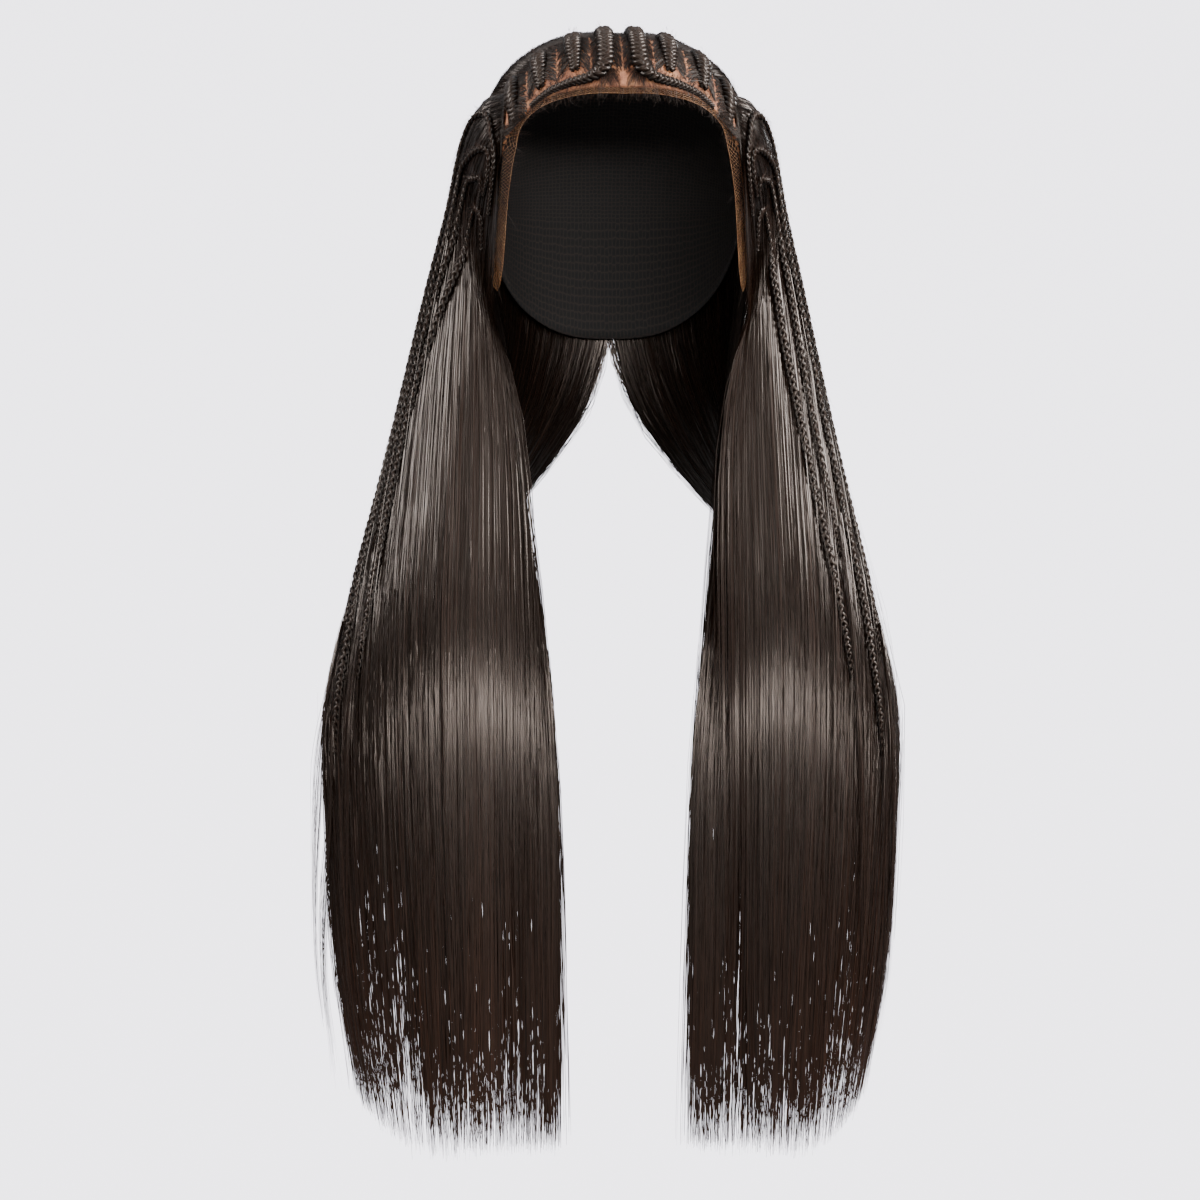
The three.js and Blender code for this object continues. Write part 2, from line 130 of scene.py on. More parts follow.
# Temple braids on the side hair's outer face: across from front to rear, row, share of full width
PLAIT_RADIUS = 3.2
SIDE_BRAIDS = (
    ((0, 2.7, 0.5), (0.005, 1.8, 0.6), (0.06, 1.12, 0.7), (0.2, 1.05, 0.75), (0.36, 1.1, 0.8),
     (0.5, 1.6, 0.85), (0.61, 2.6, 0.9), (0.66, 4, 0.95), (0.67, 5.6, 1), (0.7, 6.7, 1),
     (0.76, 7.7, 1), (0.82, 8.7, 0.95), (0.86, 9.6, 0.75)),
    ((0.07, 2.9, 0.5), (0.068, 2.2, 0.6), (0.09, 1.68, 0.65), (0.14, 1.5, 0.7), (0.22, 1.8, 0.75),
     (0.31, 2.6, 0.8), (0.39, 3.6, 0.9), (0.46, 4.6, 0.95), (0.5, 5.8, 1), (0.54, 6.9, 1),
     (0.61, 7.8, 1), (0.69, 8.7, 1), (0.77, 9.6, 1), (0.84, 10.4, 0.75)),
    ((0.1, 3.35, 0.5), (0.105, 2.85, 0.6), (0.135, 2.65, 0.65), (0.18, 2.95, 0.7), (0.25, 3.8, 0.8),
     (0.32, 4.5, 0.9), (0.38, 5.3, 1), (0.405, 6.2, 1), (0.44, 7.1, 1), (0.5, 7.9, 1), (0.57, 8.7, 0.75)),
    ((0.03, 4.2, 0.5), (0.045, 3.65, 0.6), (0.09, 3.8, 0.65), (0.14, 4.2, 0.7), (0.2, 4.8, 0.85),
     (0.25, 5.6, 1), (0.29, 6.4, 1), (0.35, 7.2, 1), (0.42, 8, 1), (0.51, 8.9, 1), (0.62, 9.8, 0.75)),
)
# As they hang, the left plaits gather towards a line behind the fall's outer edge: the part of the way
# that they go, where that line lies across the fall, and the rows between which they go
PLAIT_GATHER = {"left": 0.36, "right": 0.0}
GATHER_ACROSS = 1.1
GATHER_ROWS = (4.5, 8)


def unit(vectors):
    """Vectors scaled to a length of one."""
    return vectors / np.linalg.norm(vectors, axis=-1, keepdims=True)


def spread(low, high, count):
    """Even random draws between two values."""
    return low + (high - low) * draw.random(count)


def ramp(value, low, high):
    """0 below low, 1 above high, and a smooth rise between them."""
    t = np.clip((np.asarray(value, float) - low) / (high - low), 0, 1)
    return t * t * (3 - 2 * t)


def read_table(rows, at):
    """A value read from a table of two columns, smoothly between its rows."""
    keys, values = np.array(rows, float).T
    slopes = np.empty_like(values)
    last = len(keys) - 1
    for i in range(last + 1):
        before, after = max(i - 1, 0), min(i + 1, last)
        slopes[i] = (values[after] - values[before]) / (keys[after] - keys[before])
    i = np.clip(np.searchsorted(keys, at, side="left") - 1, 0, last - 1)
    span = keys[i + 1] - keys[i]
    t = np.clip((at - keys[i]) / span, 0, 1)
    lean = slopes[i] * t * (1 - t) ** 2 - slopes[i + 1] * t * t * (1 - t)
    return values[i] + (values[i + 1] - values[i]) * t * t * (3 - 2 * t) + lean * span


def spline(knots, at):
    """Points at places of 0 to 1 on a smooth curve through the knots, which lie along the first axis."""
    knots = np.asarray(knots, float)
    padded = np.concatenate([[2 * knots[0] - knots[1]], knots, [2 * knots[-1] - knots[-2]]])
    place = np.clip(np.asarray(at, float), 0, 1) * (len(knots) - 1)
    i = np.minimum(place.astype(int), len(knots) - 2)
    t = (place - i).reshape((-1,) + (1,) * (knots.ndim - 1))
    before, start, end, after = (padded[i + k] for k in range(4))
    leave, arrive = 0.5 * (end - before), 0.5 * (after - start)
    square, cube = t * t, t * t * t
    return (start * (2 * cube - 3 * square + 1) + leave * (cube - 2 * square + t)
            + end * (3 * square - 2 * cube) + arrive * (cube - square))


def along_line(at, travelled, line):
    """Points of a line at given distances."""
    return np.stack([np.interp(at, travelled, line[:, k]) for k in range(3)], -1)


def laid(point, facing, roll):
    """Normals of flat hairs that lie on a surface, rolled about their own length."""
    tangent = unit(np.gradient(point, axis=1))
    sideways = unit(np.cross(tangent, facing))
    return np.cross(sideways, tangent) * np.cos(roll) + sideways * np.sin(roll)


def on_head(lateral, sweep, lift=0.0):
    """Points on the head form that the cap fits, lifted off it, and the outward normals."""
    lateral, sweep = np.radians(lateral), np.radians(sweep)
    lateral, sweep, lift = np.broadcast_arrays(lateral, sweep, np.asarray(lift, float))
    level = np.cos(lateral)
    part = np.stack([np.sin(lateral), -level * np.cos(sweep), level * np.sin(sweep)], -1)
    reach = (np.abs(part) ** HEAD_SQUARENESS).sum(-1, keepdims=True) ** (-1 / HEAD_SQUARENESS)
    size = np.empty_like(part)
    size[..., 0], size[..., 1] = CAP_HALF_WIDTH, CAP_HALF_LENGTH
    size[..., 2] = np.where(part[..., 2] > 0, CROWN_HEIGHT, LOWER_HEIGHT)
    normal = unit(np.sign(part) * np.abs(part) ** (HEAD_SQUARENESS - 1) / size)
    point = size * reach * part - np.array([0, 0, CROWN_HEIGHT])
    return point + normal * lift[..., None], normal


class HairSheet:
    """A sheet of loose hair, read at any place across it (0 front, 1 rear) and at any row down it."""
    ACROSS_STEPS = 60
    ROW_STEPS = 12

    def __init__(self, cap_rows, free_rows, edge, cap_lift, flare):
        self.rows = len(cap_rows) + len(free_rows)
        self.cap_rows = len(cap_rows)
        across = np.linspace(0, 1, self.ACROSS_STEPS + 1)
        share = np.stack([
            (1 - across) * (1 - 2 * across), 4 * across * (1 - across), across * (2 * across - 1)])
        knots = []
        for row in cap_rows:
            lateral, sweep = np.array(row[:3], float).T @ share
            knots.append(on_head(lateral, sweep, CAP_WALL + cap_lift)[0])
        for at, row in enumerate(free_rows):
            out, forward, drop = np.array(row[:3], float).T @ share
            knots.append(np.stack([out + flare * across * min(at / FLARE_ROWS, 1), -forward, -drop], -1))
        places = np.linspace(0, 1, (self.rows - 1) * self.ROW_STEPS + 1)
        self.under = spline(np.array(knots), places)
        downward, sideways = np.gradient(self.under, axis=0), np.gradient(self.under, axis=1)
        self.normal = unit(np.cross(downward, sideways))
        front, front_ramp, rear, rear_ramp = edge
        quarter = math.pi / 2
        profile = ((front + (1 - front) * np.sin(np.minimum(across / front_ramp, 1) * quarter))
                   * (rear + (1 - rear) * np.sin(np.minimum((1 - across) / rear_ramp, 1) * quarter)))
        row_at = places * (self.rows - 1)
        thick = read_table([(at, row[3]) for at, row in enumerate(cap_rows + free_rows)], row_at)
        thick = thick * (ROOT_SHARE + (1 - ROOT_SHARE) * ramp(row_at, 0, FIRST_RISE_ROWS))
        self.thick = np.maximum(thick[:, None] * profile[None], LEAST_THICK)
        outer = self.under + self.normal * self.thick[..., None]
        self.face = unit(np.cross(np.gradient(outer, axis=0), np.gradient(outer, axis=1)))

    def sample(self, grid, across, row):
        """A grid's values at places that may lie slightly outside the sheet."""
        x = np.asarray(across, float) * self.ACROSS_STEPS
        y = np.asarray(row, float) * self.ROW_STEPS
        i = np.clip(np.floor(x).astype(int), 0, self.ACROSS_STEPS - 1)
        j = np.clip(np.floor(y).astype(int), 0, (self.rows - 1) * self.ROW_STEPS - 1)
        a, b = x - i, y - j
        if grid.ndim == 3:
            a, b = a[..., None], b[..., None]
        upper = grid[j, i] * (1 - a) + grid[j, i + 1] * a
        lower = grid[j + 1, i] * (1 - a) + grid[j + 1, i + 1] * a
        return upper * (1 - b) + lower * b

    def read(self, across, row):
        """The under face, its normal and the thickness."""
        thick = np.maximum(self.sample(self.thick, across, row), LEAST_READ)
        normal = unit(self.sample(self.normal, across, row))
        return self.sample(self.under, across, row), normal, thick


# Meshes
def finish_piece(piece, replaces=None):
    """What every piece gets: the body that it rides and the solid that it stands for."""
    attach(piece, "root")
    if replaces:
        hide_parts(replaces)
    return piece


def linked(name, data):
    """A new object in the scene."""
    made = bpy.data.objects.new(name, data)
    bpy.context.scene.collection.objects.link(made)
    return made


def lofted(name, rings, side, finish, flow):
    """A closed mesh through rings of equally many points, with a UV map in millimetres along the hair."""
    count, ring = rings.shape[:2]
    points = rings.reshape(-1, 3) * np.array([side, 1, 1]) * MM
    i = np.arange(ring)
    quads = []
    for row in range(count - 1):
        a, b = row * ring + i, row * ring + (i + 1) % ring
        quads.append(np.stack([a, b, b + ring, a + ring], 1))
    k = np.arange(ring // 2 - 1)
    far = ring - 1 - k
    last = (count - 1) * ring
    quads.append(np.stack([k, far, far - 1, k + 1], 1))
    quads.append(np.stack([k + 1, far - 1, far, k], 1) + last)
    quads = np.concatenate(quads)
    p = points[quads]
    volume = (np.cross(p[:, 0], p[:, 1]) * p[:, 2]).sum() + (np.cross(p[:, 0], p[:, 2]) * p[:, 3]).sum()
    if volume < 0:
        quads = quads[:, ::-1]
    mesh = bpy.data.meshes.new(name)
    mesh.from_pydata(points.tolist(), [], quads.tolist())
    layer = mesh.uv_layers.new(name="hair_flow")
    layer.data.foreach_set("uv", flow.reshape(-1, 2)[quads.ravel()].astype(np.float32).ravel())
    mesh.polygons.foreach_set("use_smooth", np.ones(len(quads), bool))
    mesh.materials.append(finish)
    return linked(name, mesh)


def tone(code):
    """An sRGB hex colour as linear red, green, blue and alpha."""
    parts = [int(code[i:i + 2], 16) / 255 for i in (1, 3, 5)]
    return [p / 12.92 if p <= 0.04045 else ((p + 0.055) / 1.055) ** 2.4 for p in parts] + [1.0]


def add_node(tree, kind, settings=None, inputs=None):
    """One node of a tree: its settings, a ramp's (place, hex) stops, and its sockets' values or links."""
    node = tree.nodes.new(kind)
    for key, value in (settings or {}).items():
        if key == "stops":
            while len(node.color_ramp.elements) < len(value):
                node.color_ramp.elements.new(0.5)
            for element, (place, code) in zip(node.color_ramp.elements, value):
                element.position, element.color = place, tone(code)
        else:
            setattr(node, key, value)
    for key, value in (inputs or {}).items():
        if isinstance(value, bpy.types.NodeSocket):
            tree.links.new(value, node.inputs[key])
        else:
            node.inputs[key].default_value = value
    return node


def worked(tree, operation, *values):
    """The result of one sum."""
    return add_node(tree, "ShaderNodeMath", {"operation": operation}, dict(enumerate(values))).outputs[0]


def sweep_tree(name, flat):
    """Guides become swept hair: flat ribbons that lie on their guides' normals, or ridged round hanks."""
    tree = bpy.data.node_groups.new(name, "GeometryNodeTree")
    sockets = (("Guides", "Geometry"), ("Ridges", "Int"), ("Ridge Depth", "Float"), ("Finish", "Material"))
    for socket, kind in sockets:
        tree.interface.new_socket(socket, in_out="INPUT", socket_type="NodeSocket" + kind)
    tree.interface.new_socket("Hair", in_out="OUTPUT", socket_type="NodeSocketGeometry")
    start = add_node(tree, "NodeGroupInput").outputs
    width = add_node(tree, "GeometryNodeInputNamedAttribute", {"data_type": "FLOAT"}, {"Name": "width"})
    curve = add_node(tree, "GeometryNodeMeshToCurve", None, {"Mesh": start["Guides"]}).outputs["Curve"]
    if flat:
        lay = add_node(tree, "GeometryNodeInputNamedAttribute",
                       {"data_type": "FLOAT_VECTOR"}, {"Name": "lay"})
        curve = add_node(tree, "GeometryNodeSetCurveNormal", {"mode": "FREE"},
                         {"Curve": curve, "Normal": lay.outputs["Attribute"]}).outputs["Curve"]
        profile = add_node(tree, "GeometryNodeCurvePrimitiveLine", {"mode": "POINTS"},
                           {"Start": (0.0, -0.5, 0.0), "End": (0.0, 0.5, 0.0)})
    else:
        inner = worked(tree, "SUBTRACT", 1.0, start["Ridge Depth"])
        profile = add_node(tree, "GeometryNodeCurveStar", None, {
            "Points": start["Ridges"], "Inner Radius": inner, "Outer Radius": 1.0})
    mesh = add_node(tree, "GeometryNodeCurveToMesh", None, {
        "Curve": curve, "Profile Curve": profile.outputs["Curve"], "Scale": width.outputs["Attribute"],
        "Fill Caps": not flat})
    smooth = add_node(tree, "GeometryNodeSetShadeSmooth", None, {"Geometry": mesh.outputs["Mesh"]})
    real = add_node(tree, "GeometryNodeRealizeInstances", None, {"Geometry": smooth.outputs["Geometry"]})
    done = add_node(tree, "GeometryNodeSetMaterial", None, {
        "Geometry": real.outputs["Geometry"], "Material": start["Finish"]})
    add_node(tree, "NodeGroupOutput", None, {"Hair": done.outputs["Geometry"]})
    return tree


RIBBON_HAIR = sweep_tree("ribbon_hair", True)
ROUND_HANKS = sweep_tree("round_hanks", False)


def swept(name, points, side, tree, finish, ridges=2, ridge_depth=0.0, **fields):
    """Hair swept along guides of (guide, point, axis) places in millimetres, as one plain mesh."""
    guides, steps = points.shape[:2]
    mirror = np.array([side, 1, 1])
    mesh = bpy.data.meshes.new(name + "_guides")
    mesh.vertices.add(guides * steps)
    mesh.vertices.foreach_set("co", (points * mirror * MM).astype(np.float32).ravel())
    first = (np.arange(guides)[:, None] * steps + np.arange(steps - 1)).ravel()
    mesh.edges.add(len(first))
    mesh.edges.foreach_set("vertices", np.stack([first, first + 1], 1).astype(np.int32).ravel())
    for field, values in fields.items():
        vector = values.ndim == 3
        layer = mesh.attributes.new(field, "FLOAT_VECTOR" if vector else "FLOAT", "POINT")
        values = values * mirror if vector else np.broadcast_to(values, (guides, steps))
        values = values * MM if field == "width" else values
        layer.data.foreach_set("vector" if vector else "value", values.astype(np.float32).ravel())
    guide = linked(name + "_guides", mesh)
    modifier = guide.modifiers.new("sweep", "NODES")
    modifier.node_group = tree
    inputs = {item.name: item.identifier for item in tree.interface.items_tree}
    modifier[inputs["Ridges"]] = ridges
    modifier[inputs["Ridge Depth"]] = ridge_depth
    modifier[inputs["Finish"]] = finish
    made = bpy.data.meshes.new_from_object(guide.evaluated_get(bpy.context.evaluated_depsgraph_get()))
    guide.modifiers.remove(modifier)
    bpy.data.objects.remove(guide)
    for field in ("width", "lay"):
        if field in made.attributes:
            made.attributes.remove(made.attributes[field])
    made.name = name
    return linked(name, made)


# Materials
def new_finish(name, **sockets):
    """A material with its shader's constants set: the material, its tree and the shader's sockets."""
    finish = bpy.data.materials.new(name)
    finish.use_nodes = True
    shader = finish.node_tree.nodes["Principled BSDF"]
    for key, value in sockets.items():
        shader.inputs[key.replace("_", " ").title().replace("Ior", "IOR")].default_value = value
    return finish, finish.node_tree, shader.inputs


def wire(tree, shader, **sockets):
    """Links the values that drive the shader."""
    for key, value in sockets.items():
        tree.links.new(value, shader[key.replace("_", " ").title()])


def hair_flow(tree):
    """Places in millimetres across and along the hair or the cap."""
    return add_node(tree, "ShaderNodeUVMap", {"uv_map": "hair_flow"}).outputs["UV"]


def hair_warmth_and_painted_shade(tree):
    """Each hair's own warmth; on the plaits it carries painted highlight on the hanks' tops and painted shade
    in their valleys.
    """
    return add_node(tree, "ShaderNodeAttribute", {"attribute_name": "warmth"}).outputs["Fac"]


def noise(tree, place, scale, dimensions, detail=2.0, roughness=0.5):
    """Cloudy values over a place."""
    return add_node(tree, "ShaderNodeTexNoise", {"noise_dimensions": dimensions}, {
        "Vector": place, "Scale": scale, "Detail": detail, "Roughness": roughness}).outputs["Fac"]


def net_cells(tree, cell_mm, unevenness, feature="DISTANCE_TO_EDGE"):
    """Distances in the open cells of a net: to its threads, or with F1 to its knots."""
    return add_node(tree, "ShaderNodeTexVoronoi", {"voronoi_dimensions": "2D", "feature": feature}, {
        "Vector": hair_flow(tree), "Scale": 1 / cell_mm, "Randomness": unevenness}).outputs["Distance"]


def mapped(tree, value, span, ends):
    """A value taken from one span to another and held at its ends."""
    return add_node(tree, "ShaderNodeMapRange", None, {
        "Value": value, "From Min": span[0], "From Max": span[1],
        "To Min": ends[0], "To Max": ends[1]}).outputs["Result"]


def tint(tree, value, *stops):
    """Colours of a ramp through (place, hex) stops, by a value."""
    return add_node(tree, "ShaderNodeValToRGB", {"stops": stops}, {"Fac": value}).outputs["Color"]


def blend(tree, share, base, over):
    """One colour laid over another by a share."""
    return add_node(tree, "ShaderNodeMix", {"data_type": "RGBA"}, {0: share, 6: base, 7: over}).outputs[2]


def bumped(tree, height, strength, depth_mm, invert=False):
    """The surface's normal with a fine relief."""
    return add_node(tree, "ShaderNodeBump", {"invert": invert}, {
        "Strength": strength, "Distance": depth_mm * MM, "Height": height}).outputs["Normal"]


# Light glances off this hair with a warm tinge
HAIR_GLINT = tone("#e4d2c6")
HAIR_IOR = 1.55

# Human hair, dyed brown-black: each strand has its own shade and warms to red-brown at its worn tip.
# The long strands are combed glossy; the short hairs on the lace are finer and duller.
# Name, specular level, roughness of the darkest and of the warmest hair
SINGLE_HAIRS = (("combed_human_hair", 0.45, (0.21, 0.4)), ("short_human_hair", 0.16, (0.45, 0.6)))
single_hair = []
for name, gloss, roughness in SINGLE_HAIRS:
    finish, tree, shader = new_finish(name, ior=HAIR_IOR, specular_ior_level=gloss, specular_tint=HAIR_GLINT)
    warmth = hair_warmth_and_painted_shade(tree)
    shade = tint(tree, warmth, (0.0, "#080402"), (0.35, "#160d08"), (0.7, "#2c1910"), (1.0, "#4c2b1a"))
    wire(tree, shader, base_color=shade, roughness=mapped(tree, warmth, (0.0, 1.0), roughness))
    single_hair.append(finish)
strand_hair, short_hair = single_hair

# The body of combed human hair behind the top strands: soft streaks along it, with grooves between them.
# Single hairs are too fine to show, so the streaks are drawn about a millimetre apart
STREAK_MM = 1.1
STREAK_LENGTH_MM = 160.0
hair_mass, tree, shader = new_finish(
    "combed_hair_mass", ior=HAIR_IOR, roughness=0.42, specular_ior_level=0.25, specular_tint=HAIR_GLINT)
stretch = add_node(tree, "ShaderNodeMapping", None, {
    "Vector": hair_flow(tree), "Scale": (1 / STREAK_MM, 1 / STREAK_LENGTH_MM, 1.0)})
streak = noise(tree, stretch.outputs["Vector"], 1.0, "2D", detail=3.0, roughness=0.6)
shade = tint(tree, streak, (0.3, "#070504"), (0.55, "#110c09"), (0.75, "#1d130e"))
wire(tree, shader, base_color=shade, normal=bumped(tree, streak, strength=0.6, depth_mm=0.5))

# Plaited human hair: tight hanks with a soft gloss, each bulge painted lighter as a highlight and the valleys
# between them painted darker as shade.
# Its grain is drawn at 2 mm, because single hairs are too fine to show
PLAIT_GRAIN_MM = 2.0
GRAIN_SHARE = 0.5
plaited_hair, tree, shader = new_finish(
    "plaited_human_hair", ior=HAIR_IOR, roughness=0.34, specular_ior_level=0.24, specular_tint=HAIR_GLINT)
place = add_node(tree, "ShaderNodeTexCoord").outputs["Object"]
grain = noise(tree, place, 1 / (PLAIT_GRAIN_MM * MM), "3D", roughness=0.6)
# The hanks' painted highlight and painted shade reach the base colour through their warmth
mixed = worked(tree, "MULTIPLY_ADD", grain, GRAIN_SHARE, hair_warmth_and_painted_shade(tree))
shade = tint(tree, mixed, (0.12, "#020101"), (0.42, "#0c0806"), (0.85, "#241a14"))
wire(tree, shader, base_color=shade, normal=bumped(tree, grain, strength=0.5, depth_mm=0.3))

# Skin-toned monofilament lace: fine net with dark knots and uneven tan patches under it. The net is
# drawn at 1.6 mm, coarser than it is, so that it shows
LACE_CELL_MM = 1.6
LACE_PATCH_MM = 9.0
LACE_UNEVENNESS = 0.45
THREAD_SHARE = 0.55
lace_net, tree, shader = new_finish("skin_toned_lace", ior=1.5, roughness=0.75)
patch = noise(tree, hair_flow(tree), 1 / LACE_PATCH_MM, "2D", detail=3.0)
tan = tint(tree, patch, (0.3, "#77452b"), (0.5, "#8e5939"), (0.72, "#a26f49"))
thread = mapped(tree, net_cells(tree, LACE_CELL_MM, LACE_UNEVENNESS), (0.04, 0.16), (1.0, 0.0))
netted = blend(tree, worked(tree, "MULTIPLY", thread, THREAD_SHARE), tan, tone("#744226"))
knot = mapped(tree, net_cells(tree, LACE_CELL_MM, LACE_UNEVENNESS, "F1"), (0.1, 0.26), (0.7, 0.0))
wire(tree, shader, base_color=blend(tree, knot, netted, tone("#3a2115")),
     normal=bumped(tree, thread, strength=0.5, depth_mm=0.25))

# Lace thread at the bare edge: drawn nylon, tan, with a dull gloss and paler stretches
THREAD_FLECK_MM = 6.0
lace_thread, tree, shader = new_finish("lace_thread", ior=1.53, roughness=0.5)
place = add_node(tree, "ShaderNodeTexCoord").outputs["Object"]
fleck = noise(tree, place, 1 / (THREAD_FLECK_MM * MM), "3D")
wire(tree, shader, base_color=tint(tree, fleck, (0.35, "#9a6540"), (0.65, "#bd8b60")))

# Dark stretch net of the cap's back: matt knitted mesh, drawn at 2.4 mm, coarser than it is, so that it shows
NET_CELL_MM = 2.4
stretch_net, tree, shader = new_finish("dark_stretch_net", ior=1.5, roughness=0.85)
cell = net_cells(tree, NET_CELL_MM, unevenness=0.3)
shade = tint(tree, cell, (0.04, "#211914"), (0.14, "#120d0b"), (0.3, "#090706"))
wire(tree, shader, base_color=shade, normal=bumped(tree, cell, strength=0.7, depth_mm=0.4, invert=True))

# Cap: the lace wall stops short of the hairline, where the bare net goes on
LACE_STRIP_MM = 4.2
# At the temples the bare net is wider to both sides of the hairline, between these lateral angles
TEMPLE_STRIP_MM = 5.0
TEMPLE_REACH_MM = 6.0
TEMPLE_START = (44, 52)
TEMPLE_END = (61, 66)
# About how much of the cap a degree spans, sideways and fore and aft
MM_PER_LATERAL = 1.4
MM_PER_SWEEP = 1.7
LACE_COLUMNS = 140
LACE_ROWS = 44
NET_ROWS = 60
lateral = np.linspace(-EAR_NOTCH_LATERAL, EAR_NOTCH_LATERAL, LACE_COLUMNS + 1)
edge_sweep = read_table(HAIRLINE, np.abs(lateral))
# The way in from the edge, in angles a millimetre
deep = MM_PER_SWEEP * np.cos(np.radians(lateral))
run_side, run_fore = np.gradient(lateral) * MM_PER_LATERAL, np.gradient(edge_sweep) * deep
run = np.hypot(run_side, run_fore)
inward = np.stack([-run_fore / run / MM_PER_LATERAL, run_side / run / deep])
temple = ramp(np.abs(lateral), *TEMPLE_START) * (1 - ramp(np.abs(lateral), *TEMPLE_END))
strip = LACE_STRIP_MM + TEMPLE_STRIP_MM * temple
inner_lateral, inner_sweep = np.stack([lateral, edge_sweep]) + inward * strip
outer_lateral, outer_sweep = np.stack([lateral, edge_sweep]) - inward * TEMPLE_REACH_MM * temple


def cap_wall(name, near, far, rows, finish, ridge=None):
    """A wall of the cap between two edges, each given by its lateral and sweep angles."""
    share = np.linspace(0, 1, rows + 1)[:, None]
    side_angle = near[0] + (far[0] - near[0]) * share
    sweep = near[1] + (far[1] - near[1]) * share
    inner_lift = ridge(sweep) if ridge else 0.0
    outer, inner = on_head(side_angle, sweep, CAP_WALL)[0], on_head(side_angle, sweep, inner_lift)[0]
    rings = np.concatenate([outer, inner[:, ::-1]], 1)
    flow = np.stack([side_angle * MM_PER_LATERAL, sweep * MM_PER_SWEEP], -1)
    return lofted(name, rings, 1, finish, np.concatenate([flow, flow[:, ::-1]], 1))


seam = (lateral, np.full_like(lateral, SEAM_SWEEP))
lace_wall = cap_wall("lace_wall", (inner_lateral, inner_sweep), seam, LACE_ROWS, lace_net)
finish_piece(lace_wall, "lace_front")
# Weft rows sewn across the net, this many degrees apart, stand proud on its inside
WEFT_SWEEP = 8.0
WEFT_HEIGHT = 0.7
WEFT_SHARPNESS = 4


def weft_rows(sweep):
    """Lift of the net's inner face, which is below nought where a weft row stands proud."""
    wave = np.cos((sweep - SEAM_SWEEP) / WEFT_SWEEP * 2 * math.pi)
    return -WEFT_HEIGHT * np.maximum(wave, 0) ** WEFT_SHARPNESS


net_start = (lateral, np.full_like(lateral, SEAM_SWEEP + SEAM_GAP_SWEEP))
nape = (lateral, read_table(NAPE, np.abs(lateral)))
cap_net = cap_wall("cap_net", net_start, nape, NET_ROWS, stretch_net, weft_rows)
finish_piece(cap_net, "cap_back")

# Bare lace at the hairline: zigzag threads that meet as open cells, and one thread along the cut edge
NET_THREAD_RADIUS = 0.06
NET_THREADS = 6
OPEN_CELL_MM = 2.2
edge_point, _ = on_head(outer_lateral, outer_sweep, CAP_WALL / 2)
inner_point, _ = on_head(inner_lateral, inner_sweep, CAP_WALL / 2)
travelled = np.concatenate([[0], np.cumsum(np.linalg.norm(np.diff(edge_point, axis=0), axis=1))])
crossings = int(travelled[-1] / OPEN_CELL_MM) * 2
along = np.linspace(0, travelled[-1], crossings + 1)
near_edge, far_edge = (along_line(along, travelled, line) for line in (edge_point, inner_point))
threads = []
for thread_at in range(NET_THREADS):
    zigzag = (np.arange(crossings + 1) + thread_at) % 2
    depth = ((thread_at + zigzag) / NET_THREADS)[:, None]
    threads.append(near_edge + (far_edge - near_edge) * depth)
threads.append(near_edge)
lace_edge_net = swept("lace_edge_net", np.array(threads), 1, ROUND_HANKS, lace_thread,
                      width=np.full((1, 1), NET_THREAD_RADIUS))
finish_piece(lace_edge_net)

# Plaits: how far a hank sways and rises and how thick it is, in shares of the plait's half width
HANK_SWAY = 0.64
HANK_RISE = 0.26
HANK_RADIUS = 0.36
# Phase in radians by which a hank's rise runs ahead of its sway
HANK_LEAD = 0.7
# Painted highlight that a hank gains from its valleys to its tops, and painted shade taken off between hanks
HANK_PAINTED_HIGHLIGHT = 0.6
HANK_PAINTED_SHADE = 0.12
HANK_VALLEY = -0.5
HANK_RIDGE_DEPTH = 0.2
CORNROW_RIDGES = 5
PLAIT_RIDGES = 4
RINGS_PER_TURN = 10
# Length of one full crossing, in half widths
CORNROW_TURN = 2.4
PLAIT_TURN = 5.0
ROUTE_STEPS = 240
# How deep cornrows and plaits sit in what they lie on
CORNROW_SINK = 1.0
PLAIT_SINK = 0.4


def plait(name, center, up, half_width, period, ridges, side):
    """Three combed hanks that cross over and under each other along a route, as one plait."""
    step = np.linalg.norm(np.diff(center, axis=0), axis=1)
    period_mid = (period[1:] + period[:-1]) / 2
    turns = np.concatenate([[0], np.cumsum(step / period_mid)])
    count = int(turns[-1] * RINGS_PER_TURN) + 1
    wanted = np.linspace(0, turns[-1], count)
    middle, normal = along_line(wanted, turns, center), along_line(wanted, turns, up)
    half = np.interp(wanted, turns, half_width)
    tangent = unit(np.gradient(middle, axis=0))
    across = unit(np.cross(tangent, normal))
    upward = np.cross(across, tangent)
    hanks, warm = [], []
    for hank in range(3):
        phase = 2 * math.pi * (wanted + hank / 3)
        sway, rise = np.sin(phase), np.sin(2 * phase + HANK_LEAD)
        aside = across * (half * HANK_SWAY * sway)[:, None]
        hanks.append(middle + aside + upward * (half * HANK_RISE * rise)[:, None])
        # Hank colour: painted highlight on the tops, painted shade in the valleys and between the hanks
        warm.append(HANK_PAINTED_HIGHLIGHT * ramp(rise, HANK_VALLEY, 1) - HANK_PAINTED_SHADE)
    radius = np.broadcast_to(half * HANK_RADIUS, (3, count))
    return swept(name, np.array(hanks), side, ROUND_HANKS, plaited_hair, ridges, HANK_RIDGE_DEPTH,
                 width=radius, warmth=np.array(warm))


def cornrow_route(waypoints):
    """A cornrow on the lace: places, normals, half widths, crossing lengths and ridges."""
    route = spline(waypoints, np.linspace(0, 1, ROUTE_STEPS))
    half = CORNROW_WIDTH / 2 * route[:, 2]
    lift = CAP_WALL - CORNROW_SINK + half * (HANK_RISE + HANK_RADIUS)
    point, normal = on_head(route[:, 0], route[:, 1], lift)
    return point, normal, half, half * CORNROW_TURN, CORNROW_RIDGES


